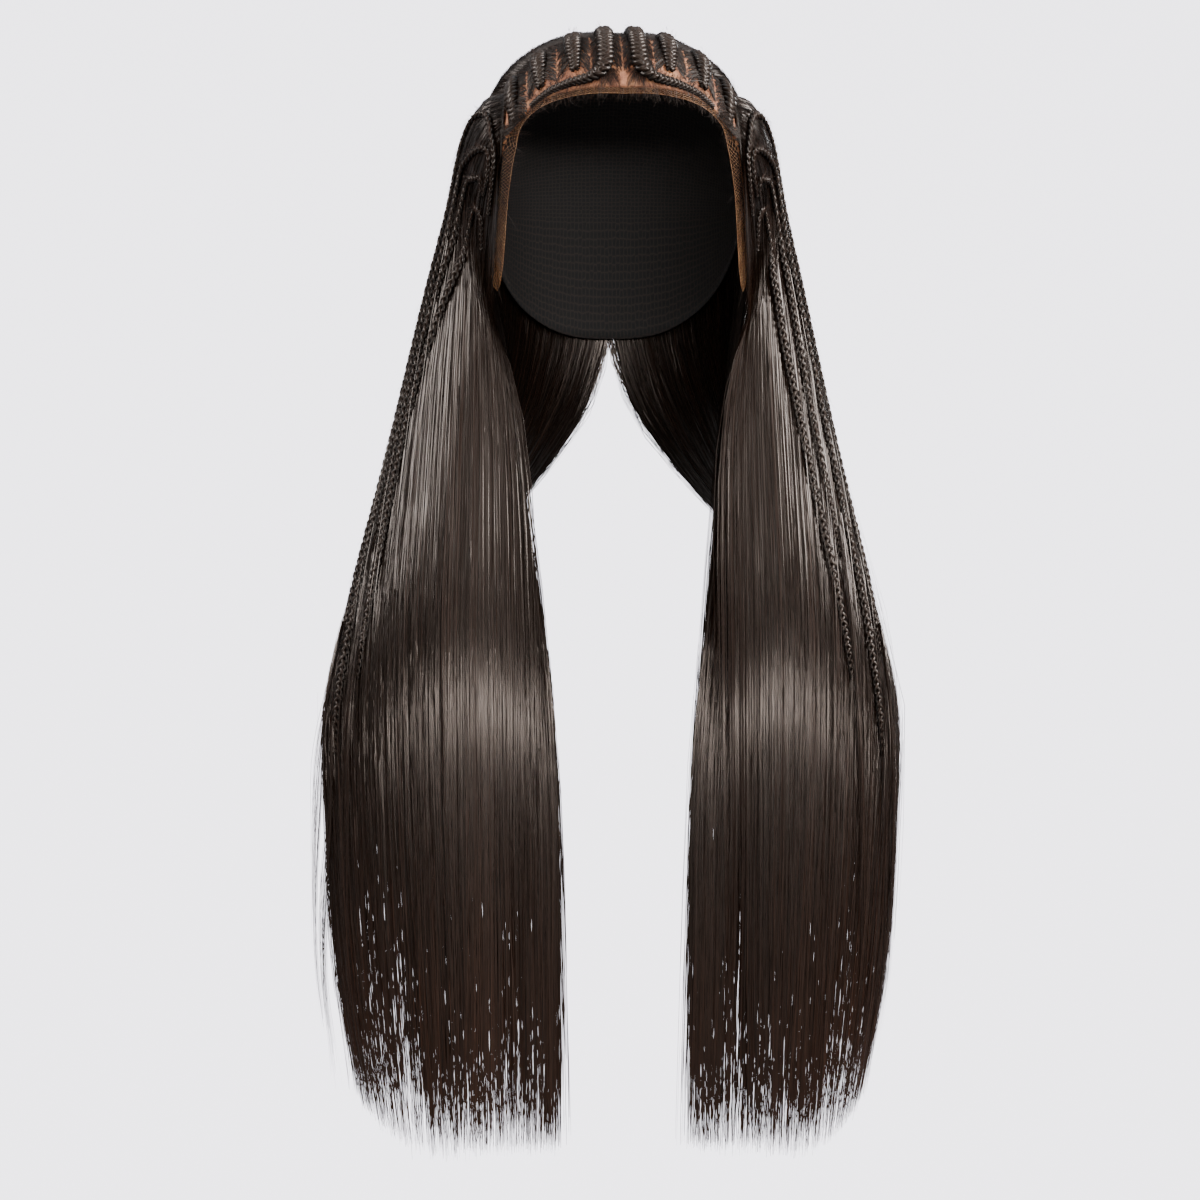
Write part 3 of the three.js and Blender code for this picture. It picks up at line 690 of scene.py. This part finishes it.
def gathered(waypoints, gather):
    """A plait's waypoints, drawn towards the gathering line."""
    drawn = np.array(waypoints, float)
    drawn[:, 0] += (GATHER_ACROSS - drawn[:, 0]) * gather * ramp(drawn[:, 1], *GATHER_ROWS)
    return drawn


def plait_route(sheet, waypoints):
    """A plait on a side fall: places, normals, half widths, crossing lengths and ridges."""
    route = spline(waypoints, np.linspace(0, 1, ROUTE_STEPS))
    point, normal, thick = sheet.read(route[:, 0], route[:, 1])
    half = PLAIT_RADIUS * route[:, 2]
    lift = thick + half * (HANK_RISE + HANK_RADIUS) - PLAIT_SINK
    return point + normal * lift[:, None], normal, half, half * PLAIT_TURN, PLAIT_RIDGES


# Fuzz on the plaits: hairs a millimetre, their length, how far they stray and how they curve away
FUZZ_PER_MM = 0.75
FUZZ_STEPS = 5
FUZZ_LENGTH = (3.0, 8.0)
FUZZ_STRAY = (0.3, 2.2)
FUZZ_CURVE = 1.6
FUZZ_WIDTH = (0.1, 0.2)
FUZZ_TAPER = 0.5
FUZZ_WARMTH = (0.5, 0.12)
# Share of the half width where fuzz starts, and the angle past a plait's sides where some still does
FUZZ_ROOT = 0.9
FUZZ_UNDER = 0.2
# Steps of a route left bare at each end
FUZZ_MARGIN = 2


def fuzz_guides(center, up, half):
    """Short hairs that work loose along a plait: places, normals, widths and warmth."""
    length = np.linalg.norm(np.diff(center, axis=0), axis=1).sum()
    count = int(length * FUZZ_PER_MM)
    pick = draw.integers(FUZZ_MARGIN, len(center) - FUZZ_MARGIN, count)
    tangent = unit(np.gradient(center, axis=0))[pick]
    across = unit(np.cross(tangent, up[pick]))
    turn = draw.uniform(-FUZZ_UNDER, math.pi + FUZZ_UNDER, (count, 1))
    out = across * np.cos(turn) + up[pick] * np.sin(turn)
    t = np.linspace(0, 1, FUZZ_STEPS)[None, :, None]
    reach = draw.uniform(*FUZZ_LENGTH, (count, 1, 1))
    stray = draw.uniform(*FUZZ_STRAY, (count, 1, 1))
    start = (center[pick] + out * (half[pick] * FUZZ_ROOT)[:, None])[:, None]
    point = start + tangent[:, None] * reach * t + out[:, None] * stray * t ** FUZZ_CURVE
    lay = np.broadcast_to(out[:, None], point.shape)
    width = draw.uniform(*FUZZ_WIDTH, (count, 1)) * (1 - FUZZ_TAPER * t[..., 0])
    warm = draw.normal(*FUZZ_WARMTH, (count, 1)).clip(0, 1)
    return point, lay, width, np.broadcast_to(warm, width.shape)


def ribbons(name, sets, side, finish):
    """One piece of flat hairs, from sets of places, normals, widths and warmth."""
    point, lay, width, warm = (np.concatenate(group) for group in zip(*sets))
    finish_piece(swept(name, point, side, RIBBON_HAIR, finish, width=width, lay=lay, warmth=warm))


sheets = {}
for name, side in SIDES.items():
    sheets["side", name] = HairSheet(SIDE_CAP_ROWS, SIDE_FREE_ROWS, SIDE_EDGE, SIDE_HAIR_LIFT, FLARE[name])
    sheets["back", name] = HairSheet(BACK_CAP_ROWS, BACK_FREE_ROWS, BACK_EDGE, BACK_HAIR_LIFT, 0.0)
    routes = {f"center_braid_{name}": cornrow_route(CENTER_BRAID)}
    for order, at, first in CORNROWS:
        middle = (first + CORNROW_END_SWEEP) / 2
        routes[f"cornrow_{name}_{order}"] = cornrow_route((
            (at, first, CORNROW_START_SHARE), (at, (first + middle) / 2, 1), (at, middle, 1),
            (at, CORNROW_END_SWEEP, CORNROW_END_SHARE)))
    for order, waypoints in enumerate(SIDE_BRAIDS, 1):
        hung = gathered(waypoints, PLAIT_GATHER[name])
        routes[f"side_braid_{name}_{order}"] = plait_route(sheets["side", name], hung)
    for node, route in routes.items():
        finish_piece(plait(node + "_hanks", *route, side), node)
    ribbons(f"plait_fuzz_{name}", [fuzz_guides(*route[:3]) for route in routes.values()],
            side, short_hair)

# Loose hair: a body of combed locks behind, and single strands over it
MASS_COLUMNS = 110
MASS_ROWS = 60
MASS_INSET = 0.4
MASS_LEAST = 0.5
# Height of its locks, the share of it near the roots, and the share of it on the under face
MASS_RELIEF = 1.1
ROOT_RELIEF = 0.3
UNDER_RELIEF = 0.3
UNDER_LIFT = 0.1
# Rows before and after the cap's last row between which the locks rise to their full height
RELIEF_ROWS = (3, 1)
# Rows above the fall's end where the body ends, how ragged that is, and the waves and shift of its rags
MASS_END = 2.8
MASS_RAG = 0.25
RAG_WAVES = ((41, 0), (97, 1))
# Part of its thickness that the body loses, and how far down that starts
MASS_TAPER = 0.85
TAPER_FROM = 0.75
# Locks across a sheet at each scale of the relief, and each scale's share
LOCK_SCALES = ((13, 0.45), (29, 0.33), (61, 0.22))
# How locks drift across as they hang: size, turns over the fall, and turns from one scale to the next
LOCK_DRIFTS = ((0.35, 1.3, 0.17), (0.2, 3.1, 0.0))
# A fall's usual width and spacing of rows, for the streaks on it; those of the under face lie elsewhere
FALL_WIDTH_MM = 100.0
ROW_MM = 45.0
UNDER_STREAKS_MM = 400


def lock_relief(across, down):
    """Height of the combed locks, from -1 to 1, and its slope over the width, across and down a fall."""
    height, slope = 0.0, 0.0
    for locks, share in LOCK_SCALES:
        drift = sum(size * np.sin(2 * math.pi * (turns * down + locks * shift))
                    for size, turns, shift in LOCK_DRIFTS)
        angle = 2 * math.pi * (locks * across + drift) + locks
        height = height + share * np.sin(angle)
        slope = slope + share * 2 * math.pi * locks * np.cos(angle)
    return height, slope


def hair_mass_piece(name, sheet, side):
    """The body of one fall, with combed locks and a ragged lower end."""
    across = np.linspace(0, 1, MASS_COLUMNS + 1)[None]
    down = np.linspace(0, 1, MASS_ROWS + 1)[:, None]
    last = sheet.rows - 1
    rags = sum(MASS_RAG * np.sin(across * wave + shift) for wave, shift in RAG_WAVES)
    row = down * (last - MASS_END + rags)
    across = np.broadcast_to(across, row.shape)
    under, normal, thick = sheet.read(across, row)
    before, after = RELIEF_ROWS
    free = ramp(row, sheet.cap_rows - before, sheet.cap_rows + after)
    relief = MASS_RELIEF * (ROOT_RELIEF + (1 - ROOT_RELIEF) * free) * lock_relief(across, row / last)[0]
    taper = 1 - MASS_TAPER * ramp(down, TAPER_FROM, 1)
    outer = under + normal * np.maximum((thick - MASS_INSET + relief) * taper, MASS_LEAST)[..., None]
    inner = under + normal * (UNDER_LIFT + UNDER_RELIEF * relief * free)[..., None]
    flow = np.stack([across * FALL_WIDTH_MM, row * ROW_MM], -1)
    rings = np.concatenate([outer, inner[:, ::-1]], 1)
    return lofted(name, rings, side, hair_mass, np.concatenate([flow, flow[:, ::-1] + UNDER_STREAKS_MM], 1))


# Strands of each fall, and the finer tips that go on below them; single hairs are too fine to show, so both
# are drawn wider
STRANDS = {"side": 3500, "back": 3200}
TIPS = 2700
STRAND_STEPS = 14
TIP_STEPS = 6
STRAND_WIDTH = (0.15, 0.38)
TIP_WIDTH = (0.13, 0.46)
WIDE_RARITY = 2
# What a strand's width loses at its root and at its tip, and the shares of its length where it does
ROOT_NARROWS = 0.4
ROOT_REACH = 0.1
TIP_NARROWS = 0.6
TIP_REACH = 0.88
# Share of a strand's length where its last step starts
STRAND_TIP = 0.94
# Places across each fall where strands start: a few hang past its edges
STRAND_SPREAD = {"side": (0.0, 1.04), "back": (-0.035, 1.03)}
# Share of the strands that root along a fall's upper edge and its rows; the rest root down to these rows
# past the cap
EDGE_ROOTED = 0.75
EDGE_ROWS = (0.02, 0.52)
LATE_ROWS = 2
# Share of the side falls' width by which strands stray past its front edge, and where straying fades out
STRAY = 0.22
STRAY_FADE = (0.15, 0.4)
STRAY_RARITY = 3
# Rows above the fall's end where strands end, where tips start, and over which tips end
STRAND_ENDS = (2.3, 3.7)
TIP_STARTS = (3.6, 4.6)
TIP_ENDS = 2.7
TIP_THINNING = 1.4
# How far tips crowd to the edge where one fall hangs alone
TIP_CROWDING = 1.6
# Locks that strands gather to: number, the sine that makes them differ, rows by which their ends do, how far
# their middles do, and the least rows left below
LOCKS = 26
LOCK_WAVE = (0.5, 2.4, 0.7)
LOCK_ENDS = 0.12
LOCK_OFFSET = 0.6
END_MARGIN = (0, 0.2)
# Part of the way to their lock's middle that strands and tips draw, and how far down the fall they start to
LOCK_PULL = 0.1
TIP_PULL = 0.05
PULL_FROM = 0.55
# Lean of the tips across the fall, a row
TIP_LEAN = 0.014
# How far strands wander across, how often, and where that sets in
WANDER = 0.006
WANDER_TURNS = (0.6, 2.0)
WANDER_RAMP = (0.05, 0.4)
# Most strands lie on the outer face and some on the under face: draws below the first and above the second
OUTER_BELOW = 0.72
UNDER_ABOVE = 0.86
OUTER_LIFT = (-0.7, 0.8)
UNDER_SINK = (-0.5, 0.0)
# How far strands follow the locks' relief, and the rows over which that sets in
LOCK_LIFT = 0.3
COMBED_ROWS = (1, 4)
# Flyaways: their share, where they leave the fall, and how far they lift and drift
FLY_SHARE = 0.05
FLY_RAMP = (0.15, 0.8)
FLY_LIFT = (0, 4.0)
FLY_DRIFT = (-4.5, 4.5)
# How far strands turn from the under face's normal to the outer face's
FACE_SHARE = 0.3
# Roll of the strands: combed straight at the front edge, looser by the second value towards the rear
ROLL = (0.08, 0.2)
ROLL_RAMP = (0.1, 0.5)
# Warmth: its middle and spread, how much neighbouring strands share, and what worn ends add from where on
STRAND_WARMTH = (0.3, 0.08)
STREAKS = 130
STREAK_WARMTH = 0.07
WORN_WARMTH = 0.32
WORN_FROM = 0.7


def strand_guides(sheet, start, first, end, steps, width, pull, lean):
    """Strands down a fall, from places across it and first and last rows: places, normals, widths, warmth."""
    count, last = len(start), sheet.rows - 1
    each = (count, 1)
    t = np.append(np.linspace(0, STRAND_TIP, steps - 1), 1.0)[None]
    lock = np.clip(np.floor(start * LOCKS), 0, LOCKS - 1)
    size, turn, shift = LOCK_WAVE
    differs = size * np.sin(turn * lock + shift)
    streak = draw.normal(0, STREAK_WARMTH, STREAKS)[np.clip(start * STREAKS, 0, STREAKS - 1).astype(int)]
    end = np.minimum(end + LOCK_ENDS * differs, last - spread(*END_MARGIN, each))
    row = first + (end - first) * t
    share = row / last
    middle = (lock + 0.5 + LOCK_OFFSET * differs) / LOCKS
    wander = WANDER * np.sin(2 * math.pi * (draw.random(each) + share * spread(*WANDER_TURNS, each)))
    drawn = (middle - start) * pull * ramp(share, PULL_FROM, 1.0)
    across = start + drawn + wander * ramp(share, *WANDER_RAMP)
    across = across + lean * draw.normal(0, 1, each) * (row - first)
    under, normal, thick = sheet.read(across, row)
    layer = draw.random(each)
    outer, inner = layer < OUTER_BELOW, layer > UNDER_ABOVE
    through = np.where(outer, 1.0, np.where(inner, 0.0, draw.random(each)))
    relief, slope = lock_relief(across, share)
    combed = outer * ramp(row, *COMBED_ROWS)
    lift = np.where(outer, spread(*OUTER_LIFT, each), np.where(inner, spread(*UNDER_SINK, each), 0.0))
    lift = lift + LOCK_LIFT * relief * combed
    fly = (draw.random(each) < FLY_SHARE) * ramp(share, *FLY_RAMP)
    lift = lift + fly * spread(*FLY_LIFT, each)
    point = under + normal * (thick * through + lift)[..., None]
    point = point + fly[..., None] * spread(*FLY_DRIFT, (count, 1, 3)) * share[..., None]
    facing = normal + FACE_SHARE * outer[..., None] * unit(sheet.sample(sheet.face, across, row))
    combed_roll, looser = ROLL
    roll = draw.normal(0, 1, each) * (combed_roll + looser * ramp(across, *ROLL_RAMP))
    roll = roll + np.arctan(LOCK_LIFT / FALL_WIDTH_MM * slope) * combed
    low, high = width
    wide = low + (high - low) * draw.random(each) ** WIDE_RARITY
    wide = wide * (1 - ROOT_NARROWS + ROOT_NARROWS * ramp(t, 0, ROOT_REACH))
    wide = wide * (1 - TIP_NARROWS * ramp(t, TIP_REACH, 1))
    warm = draw.normal(*STRAND_WARMTH, each) + streak + WORN_WARMTH * ramp(share, WORN_FROM, 1.0)
    return point, laid(point, facing, roll[..., None]), wide, np.clip(warm, 0, 1)


for name, side in SIDES.items():
    for fall in ("side", "back"):
        sheet = sheets[fall, name]
        node = f"{fall}_fall_{name}"
        last = sheet.rows - 1
        finish_piece(hair_mass_piece(node + "_mass", sheet, side), node)
        count = (STRANDS[fall], 1)
        rooted = np.where(draw.random(count) < EDGE_ROOTED, spread(*EDGE_ROWS, count),
                          spread(0, sheet.cap_rows + LATE_ROWS, count))
        low, high = STRAND_SPREAD[fall]
        start = spread(low, high, count)
        if fall == "side":
            start = start - STRAY * draw.random(count) ** STRAY_RARITY * (1 - ramp(start, *STRAY_FADE))
        strands = strand_guides(sheet, start, rooted, last - spread(*STRAND_ENDS, count),
                                STRAND_STEPS, STRAND_WIDTH, LOCK_PULL, 0.0)
        # Tips thin out until the light shows through, with more of them where one fall hangs alone
        count = (TIPS, 1)
        place = draw.random(count) ** TIP_CROWDING
        start = low + (high - low) * (place if fall == "back" else 1 - place)
        tips = strand_guides(sheet, start, last - spread(*TIP_STARTS, count),
                             last - TIP_ENDS * draw.random(count) ** TIP_THINNING,
                             TIP_STEPS, TIP_WIDTH, TIP_PULL, TIP_LEAN)
        ribbons(node + "_strands", [strands], side, strand_hair)
        ribbons(node + "_tips", [tips], side, strand_hair)

# Short hairs on the lace, drawn wider than they are so that they show.
# Each set: how many, lift of root and tip, least and greatest width, warmth
SHORT_HAIRS = {
    "part": (480, (0.1, 2.4), (0.2, 0.4), 0.25),
    "hairline": (190, (0.1, 1.6), (0.1, 0.18), 0.5),
    "center": (240, (0.1, 1.8), (0.09, 0.18), 0.4),
    "behind": (260, (0.1, 1.6), (0.09, 0.18), 0.4),
    "temple": (900, (0.1, 3.2), (0.16, 0.34), 0.3),
    "crown": (900, (0.1, 11.5), (0.3, 0.55), 0.3),
    "baby": (260, (0.1, 0.9), (0.08, 0.15), 0.4),
}
RAKE_STEPS = 5
# Powers by which they turn sideways and rise, and their scatter in height, roll, taper and spread of warmth
RAKE_TURN = 1.4
RAKE_RISE = 1.5
RAKE_SCATTER = 0.2
RAKE_ROLL = 0.4
RAKE_TAPER = 0.5
RAKE_SHADES = 0.12
# From the parts into the cornrows: place and start of the centre pair, the outermost part, the sweeps where
# hairs root, how far from the part they root and short of the cornrow's middle they end, how far they sweep
CENTER_ROW = (6.4, 44.5)
OUTER_PART = 52.0
PART_AHEAD = 2
PART_LAST = 97
PART_ROOTS = 0.4
PART_CROWDING = 1.5
PART_SHORT = 0.12
PART_SWEEP = (3, 9)
# Sets that root at random over the lace: lateral angles, sweeps of the roots, how far tips slant from them,
# and the tips' sweeps. They go into the thin braid from in front, where the roots' sweeps count from the
# hairline, out from the centre part to where the braid turns back, into the braid from behind, and from
# between the cornrows' ends over the crown seam
SCATTERED_SETS = {
    "hairline": ((8, 40), (0.8, 3.2), (-1, -4), 39.9),
    "center": ((0.8, 9), (35, 43), 0, (44, 47)),
    "behind": ((10, 41), (42, 45.5), (-0.5, -3), 40.4),
    "crown": ((0.3, 53), (86, 101), (-1, 3), (108, 118)),
}
# Lateral angle of the braid's turn, short of which no tip from the centre part ends
CENTER_LEAST = 8.2
# Back from the temple, in widths of the lace strip from the edge: roots, tips and how far they droop. They
# start at this lateral angle and stop some columns before the ear
TEMPLE_FIRST = 41
TEMPLE_LAST_COLUMNS = 14
TEMPLE_ROOTS = (0.55, 1.15)
TEMPLE_TIPS = (2.0, 3.4)
TEMPLE_DROOP = (3, 10)
# Baby hairs over the edge, up to a lateral angle: roots and reach in widths of the lace strip, and the spread
# of their slant and curl in degrees
BABY_LAST = 63
BABY_ROOTS = (0.2, 1.1)
BABY_REACH = (0.4, 1.7)
BABY_SLANT = (2.4, 0.8)
BABY_CURL = 0.7


def raked(kind, start, end, curl=0.0):
    """One set of short hairs between lateral and sweep angles: places, normals, widths, warmth."""
    count, (root_lift, tip_lift), (low, high), warm = SHORT_HAIRS[kind]
    each = (count, 1)
    t = np.linspace(0, 1, RAKE_STEPS)[None]
    side_angle = start[0][:, None] + (end[0] - start[0])[:, None] * t ** RAKE_TURN
    sweep = start[1][:, None] + (end[1] - start[1])[:, None] * t
    bend = curl * draw.normal(0, 1, each) * np.sin(t * math.pi)
    rise = CAP_WALL + root_lift + (tip_lift - root_lift) * t ** RAKE_RISE + RAKE_SCATTER * draw.random(each)
    point, normal = on_head(side_angle + bend, sweep - bend, rise)
    tangent = unit(np.gradient(point, axis=1))
    sideways = unit(np.cross(tangent, normal))
    roll = draw.normal(0, RAKE_ROLL, (count, 1, 1))
    lay = normal * np.cos(roll) + sideways * np.sin(roll)
    wide = (low + (high - low) * draw.random(each)) * (1 - RAKE_TAPER * t)
    warmth = np.clip(draw.normal(warm, RAKE_SHADES, each), 0, 1)
    return point, lay, wide, np.broadcast_to(warmth, wide.shape)


def edge_places(first, last, count):
    """Random places on the cap's edge between two columns, and the step in over the lace strip there."""
    pick = draw.integers(first, last, count)
    step = np.array([inner_lateral - lateral, inner_sweep - edge_sweep])[:, pick]
    return np.array([lateral, edge_sweep])[:, pick], step


def scattered(kind):
    """One set of short hairs that roots at random over the lace."""
    count = SHORT_HAIRS[kind][0]
    laterals, roots, slant, ends = SCATTERED_SETS[kind]
    along, root = spread(*laterals, count), spread(*roots, count)
    if kind == "hairline":
        root = read_table(HAIRLINE, along) + root
    slant, end = (spread(*one, count) if isinstance(one, tuple) else np.full(count, one)
                  for one in (slant, ends))
    tip = np.maximum(along, CENTER_LEAST) if kind == "center" else along + slant
    return raked(kind, (along, root), (tip, end))


def short_hairs():
    """All the sets of short hairs of one side, root to tip."""
    sets = []
    rows = [CENTER_ROW] + [(at, first) for _, at, first in CORNROWS]
    parts = [0.0] + [(a[0] + b[0]) / 2 for a, b in zip(rows, rows[1:])] + [OUTER_PART]
    count = SHORT_HAIRS["part"][0]
    for (at, first), inner_part, outer_part in zip(rows, parts, parts[1:]):
        for part in (inner_part, outer_part):
            sweep = spread(first - PART_AHEAD, PART_LAST, count)
            root = part + (at - part) * (PART_ROOTS * draw.random(count) ** PART_CROWDING)
            tip = np.full(count, at) + (part - at) * PART_SHORT
            sets.append(raked("part", (root, sweep), (tip, sweep + spread(*PART_SWEEP, count))))
    for kind in ("hairline", "center", "behind"):
        sets.append(scattered(kind))
    count = SHORT_HAIRS["temple"][0]
    last = len(lateral) - TEMPLE_LAST_COLUMNS
    edge, step = edge_places(np.searchsorted(lateral, TEMPLE_FIRST), last, count)
    near, away = spread(*TEMPLE_ROOTS, count), spread(*TEMPLE_TIPS, count)
    droop = np.array([np.zeros(count), spread(*TEMPLE_DROOP, count)])
    sets.append(raked("temple", edge + step * near, edge + step * away - droop))
    sets.append(scattered("crown"))
    count = SHORT_HAIRS["baby"][0]
    edge, step = edge_places(np.searchsorted(lateral, 0), np.searchsorted(lateral, BABY_LAST), count)
    reach = spread(*BABY_REACH, count)
    slant = np.array([draw.normal(0, angle, count) for angle in BABY_SLANT])
    root = edge + step * spread(*BABY_ROOTS, count)
    sets.append(raked("baby", root, edge - step * reach + slant, BABY_CURL))
    return sets


for name, side in SIDES.items():
    ribbons(f"short_hairs_{name}", short_hairs(), side, short_hair)

# Loose tails below the hanging plaits: strands, rows that they hang, rows by which they start inside the
# plait, and their fan and drift across the fall
TAIL_STRANDS = 46
TAIL_ROWS = (1.8, 3.8)
TAIL_TUCK = 0.25
TAIL_FAN = 0.014
TAIL_DRIFT = 0.06
# Part of the plait's radius that they sink by, over this share of their length, and their scatter in height
TAIL_SINK = 0.7
TAIL_SINK_REACH = 0.5
TAIL_SCATTER = 0.8
# Millimetres by which the tails nearest the outer edge hang clear of the fall, the places across where plaits
# count as near it, and the shares of a tail's length over which it goes out
TAIL_OUT = {"left": 8.0, "right": 4.0}
TAIL_NEAR = (0.78, 0.92)
TAIL_OUT_RAMP = (0.1, 0.7)
TAIL_ROLL = 0.5
TAIL_TAPER = 0.7
TAIL_WARMTH = (0.3, 0.1)
TAIL_WORN = 0.2


def tail_guides(sheet, at, first, clear):
    """The tail of one plait, which ends at a place across and a row: places, normals, widths and warmth."""
    each = (TAIL_STRANDS, 1)
    t = np.linspace(0, 1, STRAND_STEPS)[None]
    row = np.minimum(first - TAIL_TUCK + spread(*TAIL_ROWS, each) * t, sheet.rows - 1)
    across = at + draw.normal(0, TAIL_FAN, each) * t + TAIL_DRIFT * (row - first)
    under, normal, thick = sheet.read(across, row)
    lift = PLAIT_RADIUS * (1 - TAIL_SINK * ramp(t, 0, TAIL_SINK_REACH)) + draw.normal(0, TAIL_SCATTER, each)
    point = under + normal * (thick + lift)[..., None]
    point[..., 0] += clear * ramp(at, *TAIL_NEAR) * ramp(t, *TAIL_OUT_RAMP)
    lay = laid(point, normal, draw.normal(0, TAIL_ROLL, (TAIL_STRANDS, 1, 1)))
    width = spread(*STRAND_WIDTH, each) * (1 - TAIL_TAPER * t)
    warm = np.clip(draw.normal(*TAIL_WARMTH, each) + TAIL_WORN * t, 0, 1)
    return point, lay, width, warm


for name, side in SIDES.items():
    tails = []
    for waypoints in SIDE_BRAIDS:
        at, first, _ = gathered(waypoints, PLAIT_GATHER[name])[-1]
        tails.append(tail_guides(sheets["side", name], at, first, TAIL_OUT[name]))
    ribbons(f"plait_tails_{name}", tails, side, strand_hair)

# Stage: a plain pale floor that curves up all round far behind
FLOOR_DROP = 1.6
BACKDROP_GLOW = 3.2
BOWL_PROFILE = ((0.0, 0.0), (3.6, 0.0), (4.6, 0.12), (5.3, 0.5), (5.8, 1.2), (6.0, 2.2), (6.0, 5.5))
BOWL_SEGMENTS = 72
bowl_points, bowl_faces = [], []
for radius, height in BOWL_PROFILE:
    for segment in range(BOWL_SEGMENTS):
        turn = 2 * math.pi * segment / BOWL_SEGMENTS
        bowl_points.append((radius * math.cos(turn), radius * math.sin(turn), height - FLOOR_DROP))
for level in range(len(BOWL_PROFILE) - 1):
    for segment in range(BOWL_SEGMENTS):
        a, b = level * BOWL_SEGMENTS + segment, level * BOWL_SEGMENTS + (segment + 1) % BOWL_SEGMENTS
        bowl_faces.append((a, a + BOWL_SEGMENTS, b + BOWL_SEGMENTS, b))
bowl_mesh = bpy.data.meshes.new("studio_floor")
bowl_mesh.from_pydata(bowl_points, [], bowl_faces)
bowl_mesh.polygons.foreach_set("use_smooth", np.ones(len(bowl_faces), bool))
pale, *_ = new_finish("pale_studio_paper", roughness=0.9, base_color=tone("#f4f2f8"),
                      emission_color=tone("#f3f0f9"), emission_strength=BACKDROP_GLOW)
bowl_mesh.materials.append(pale)
floor = linked("studio_floor", bowl_mesh)
floor.visible_glossy = False
floor.visible_diffuse = False

# Soft studio light: the side softboxes light the outer half of each fall, the key its middle and the strip
# the band across it. Place, width, height, power
LIGHTS = {
    "right_softbox": ((1.8, -0.35, 1.35), 1.1, 1.1, 200),
    "key_softbox": ((-0.3, -1.78, 1.31), 0.6, 0.7, 7),
    "left_softbox": ((-1.8, -0.2, 1.3), 1.1, 1.1, 95),
    "band_strip": ((0.7, -2.6, 0.22), 2.6, 0.22, 80),
    "top_softbox": ((0.0, 0.5, 2.2), 1.2, 1.2, 9),
    "back_softbox": ((0.5, 2.4, -0.1), 1.4, 1.4, 60),
}
AIM = Vector((0, 0, -0.3))
WORLD_GLOW = 0.48
for name, (place, wide, high, power) in LIGHTS.items():
    lamp = bpy.data.lights.new(name, "AREA")
    lamp.shape, lamp.size, lamp.size_y, lamp.energy = "RECTANGLE", wide, high, power
    light = linked(name, lamp)
    light.location = place
    light.rotation_euler = (AIM - Vector(place)).to_track_quat("-Z", "Y").to_euler()
    light.visible_camera = False
world = bpy.data.worlds.new("studio_air")
world.use_nodes = True
air = world.node_tree.nodes["Background"].inputs
air["Color"].default_value = tone("#f2f3f7")
air["Strength"].default_value = WORLD_GLOW
bpy.context.scene.world = world

# Camera: level with the hair's middle, a little to the left of the front, as far off as the view was taken
CAMERA_TURN = math.radians(-2.5)
CAMERA_DISTANCE = 2.5
CAMERA_ASIDE = -0.0102
CAMERA_HEIGHT = -0.336
CAMERA_LENS_MM = 125.0
CAMERA_SENSOR_MM = 36.0
camera_data = bpy.data.cameras.new("front_camera")
camera_data.lens, camera_data.sensor_width = CAMERA_LENS_MM, CAMERA_SENSOR_MM
camera = linked("front_camera", camera_data)
ahead = Vector((-math.sin(CAMERA_TURN), math.cos(CAMERA_TURN), 0))
right = Vector((math.cos(CAMERA_TURN), math.sin(CAMERA_TURN), 0))
camera.location = -CAMERA_DISTANCE * ahead + CAMERA_ASIDE * right + Vector((0, 0, CAMERA_HEIGHT))
camera.rotation_euler = ahead.to_track_quat("-Z", "Y").to_euler()
bpy.context.scene.camera = camera
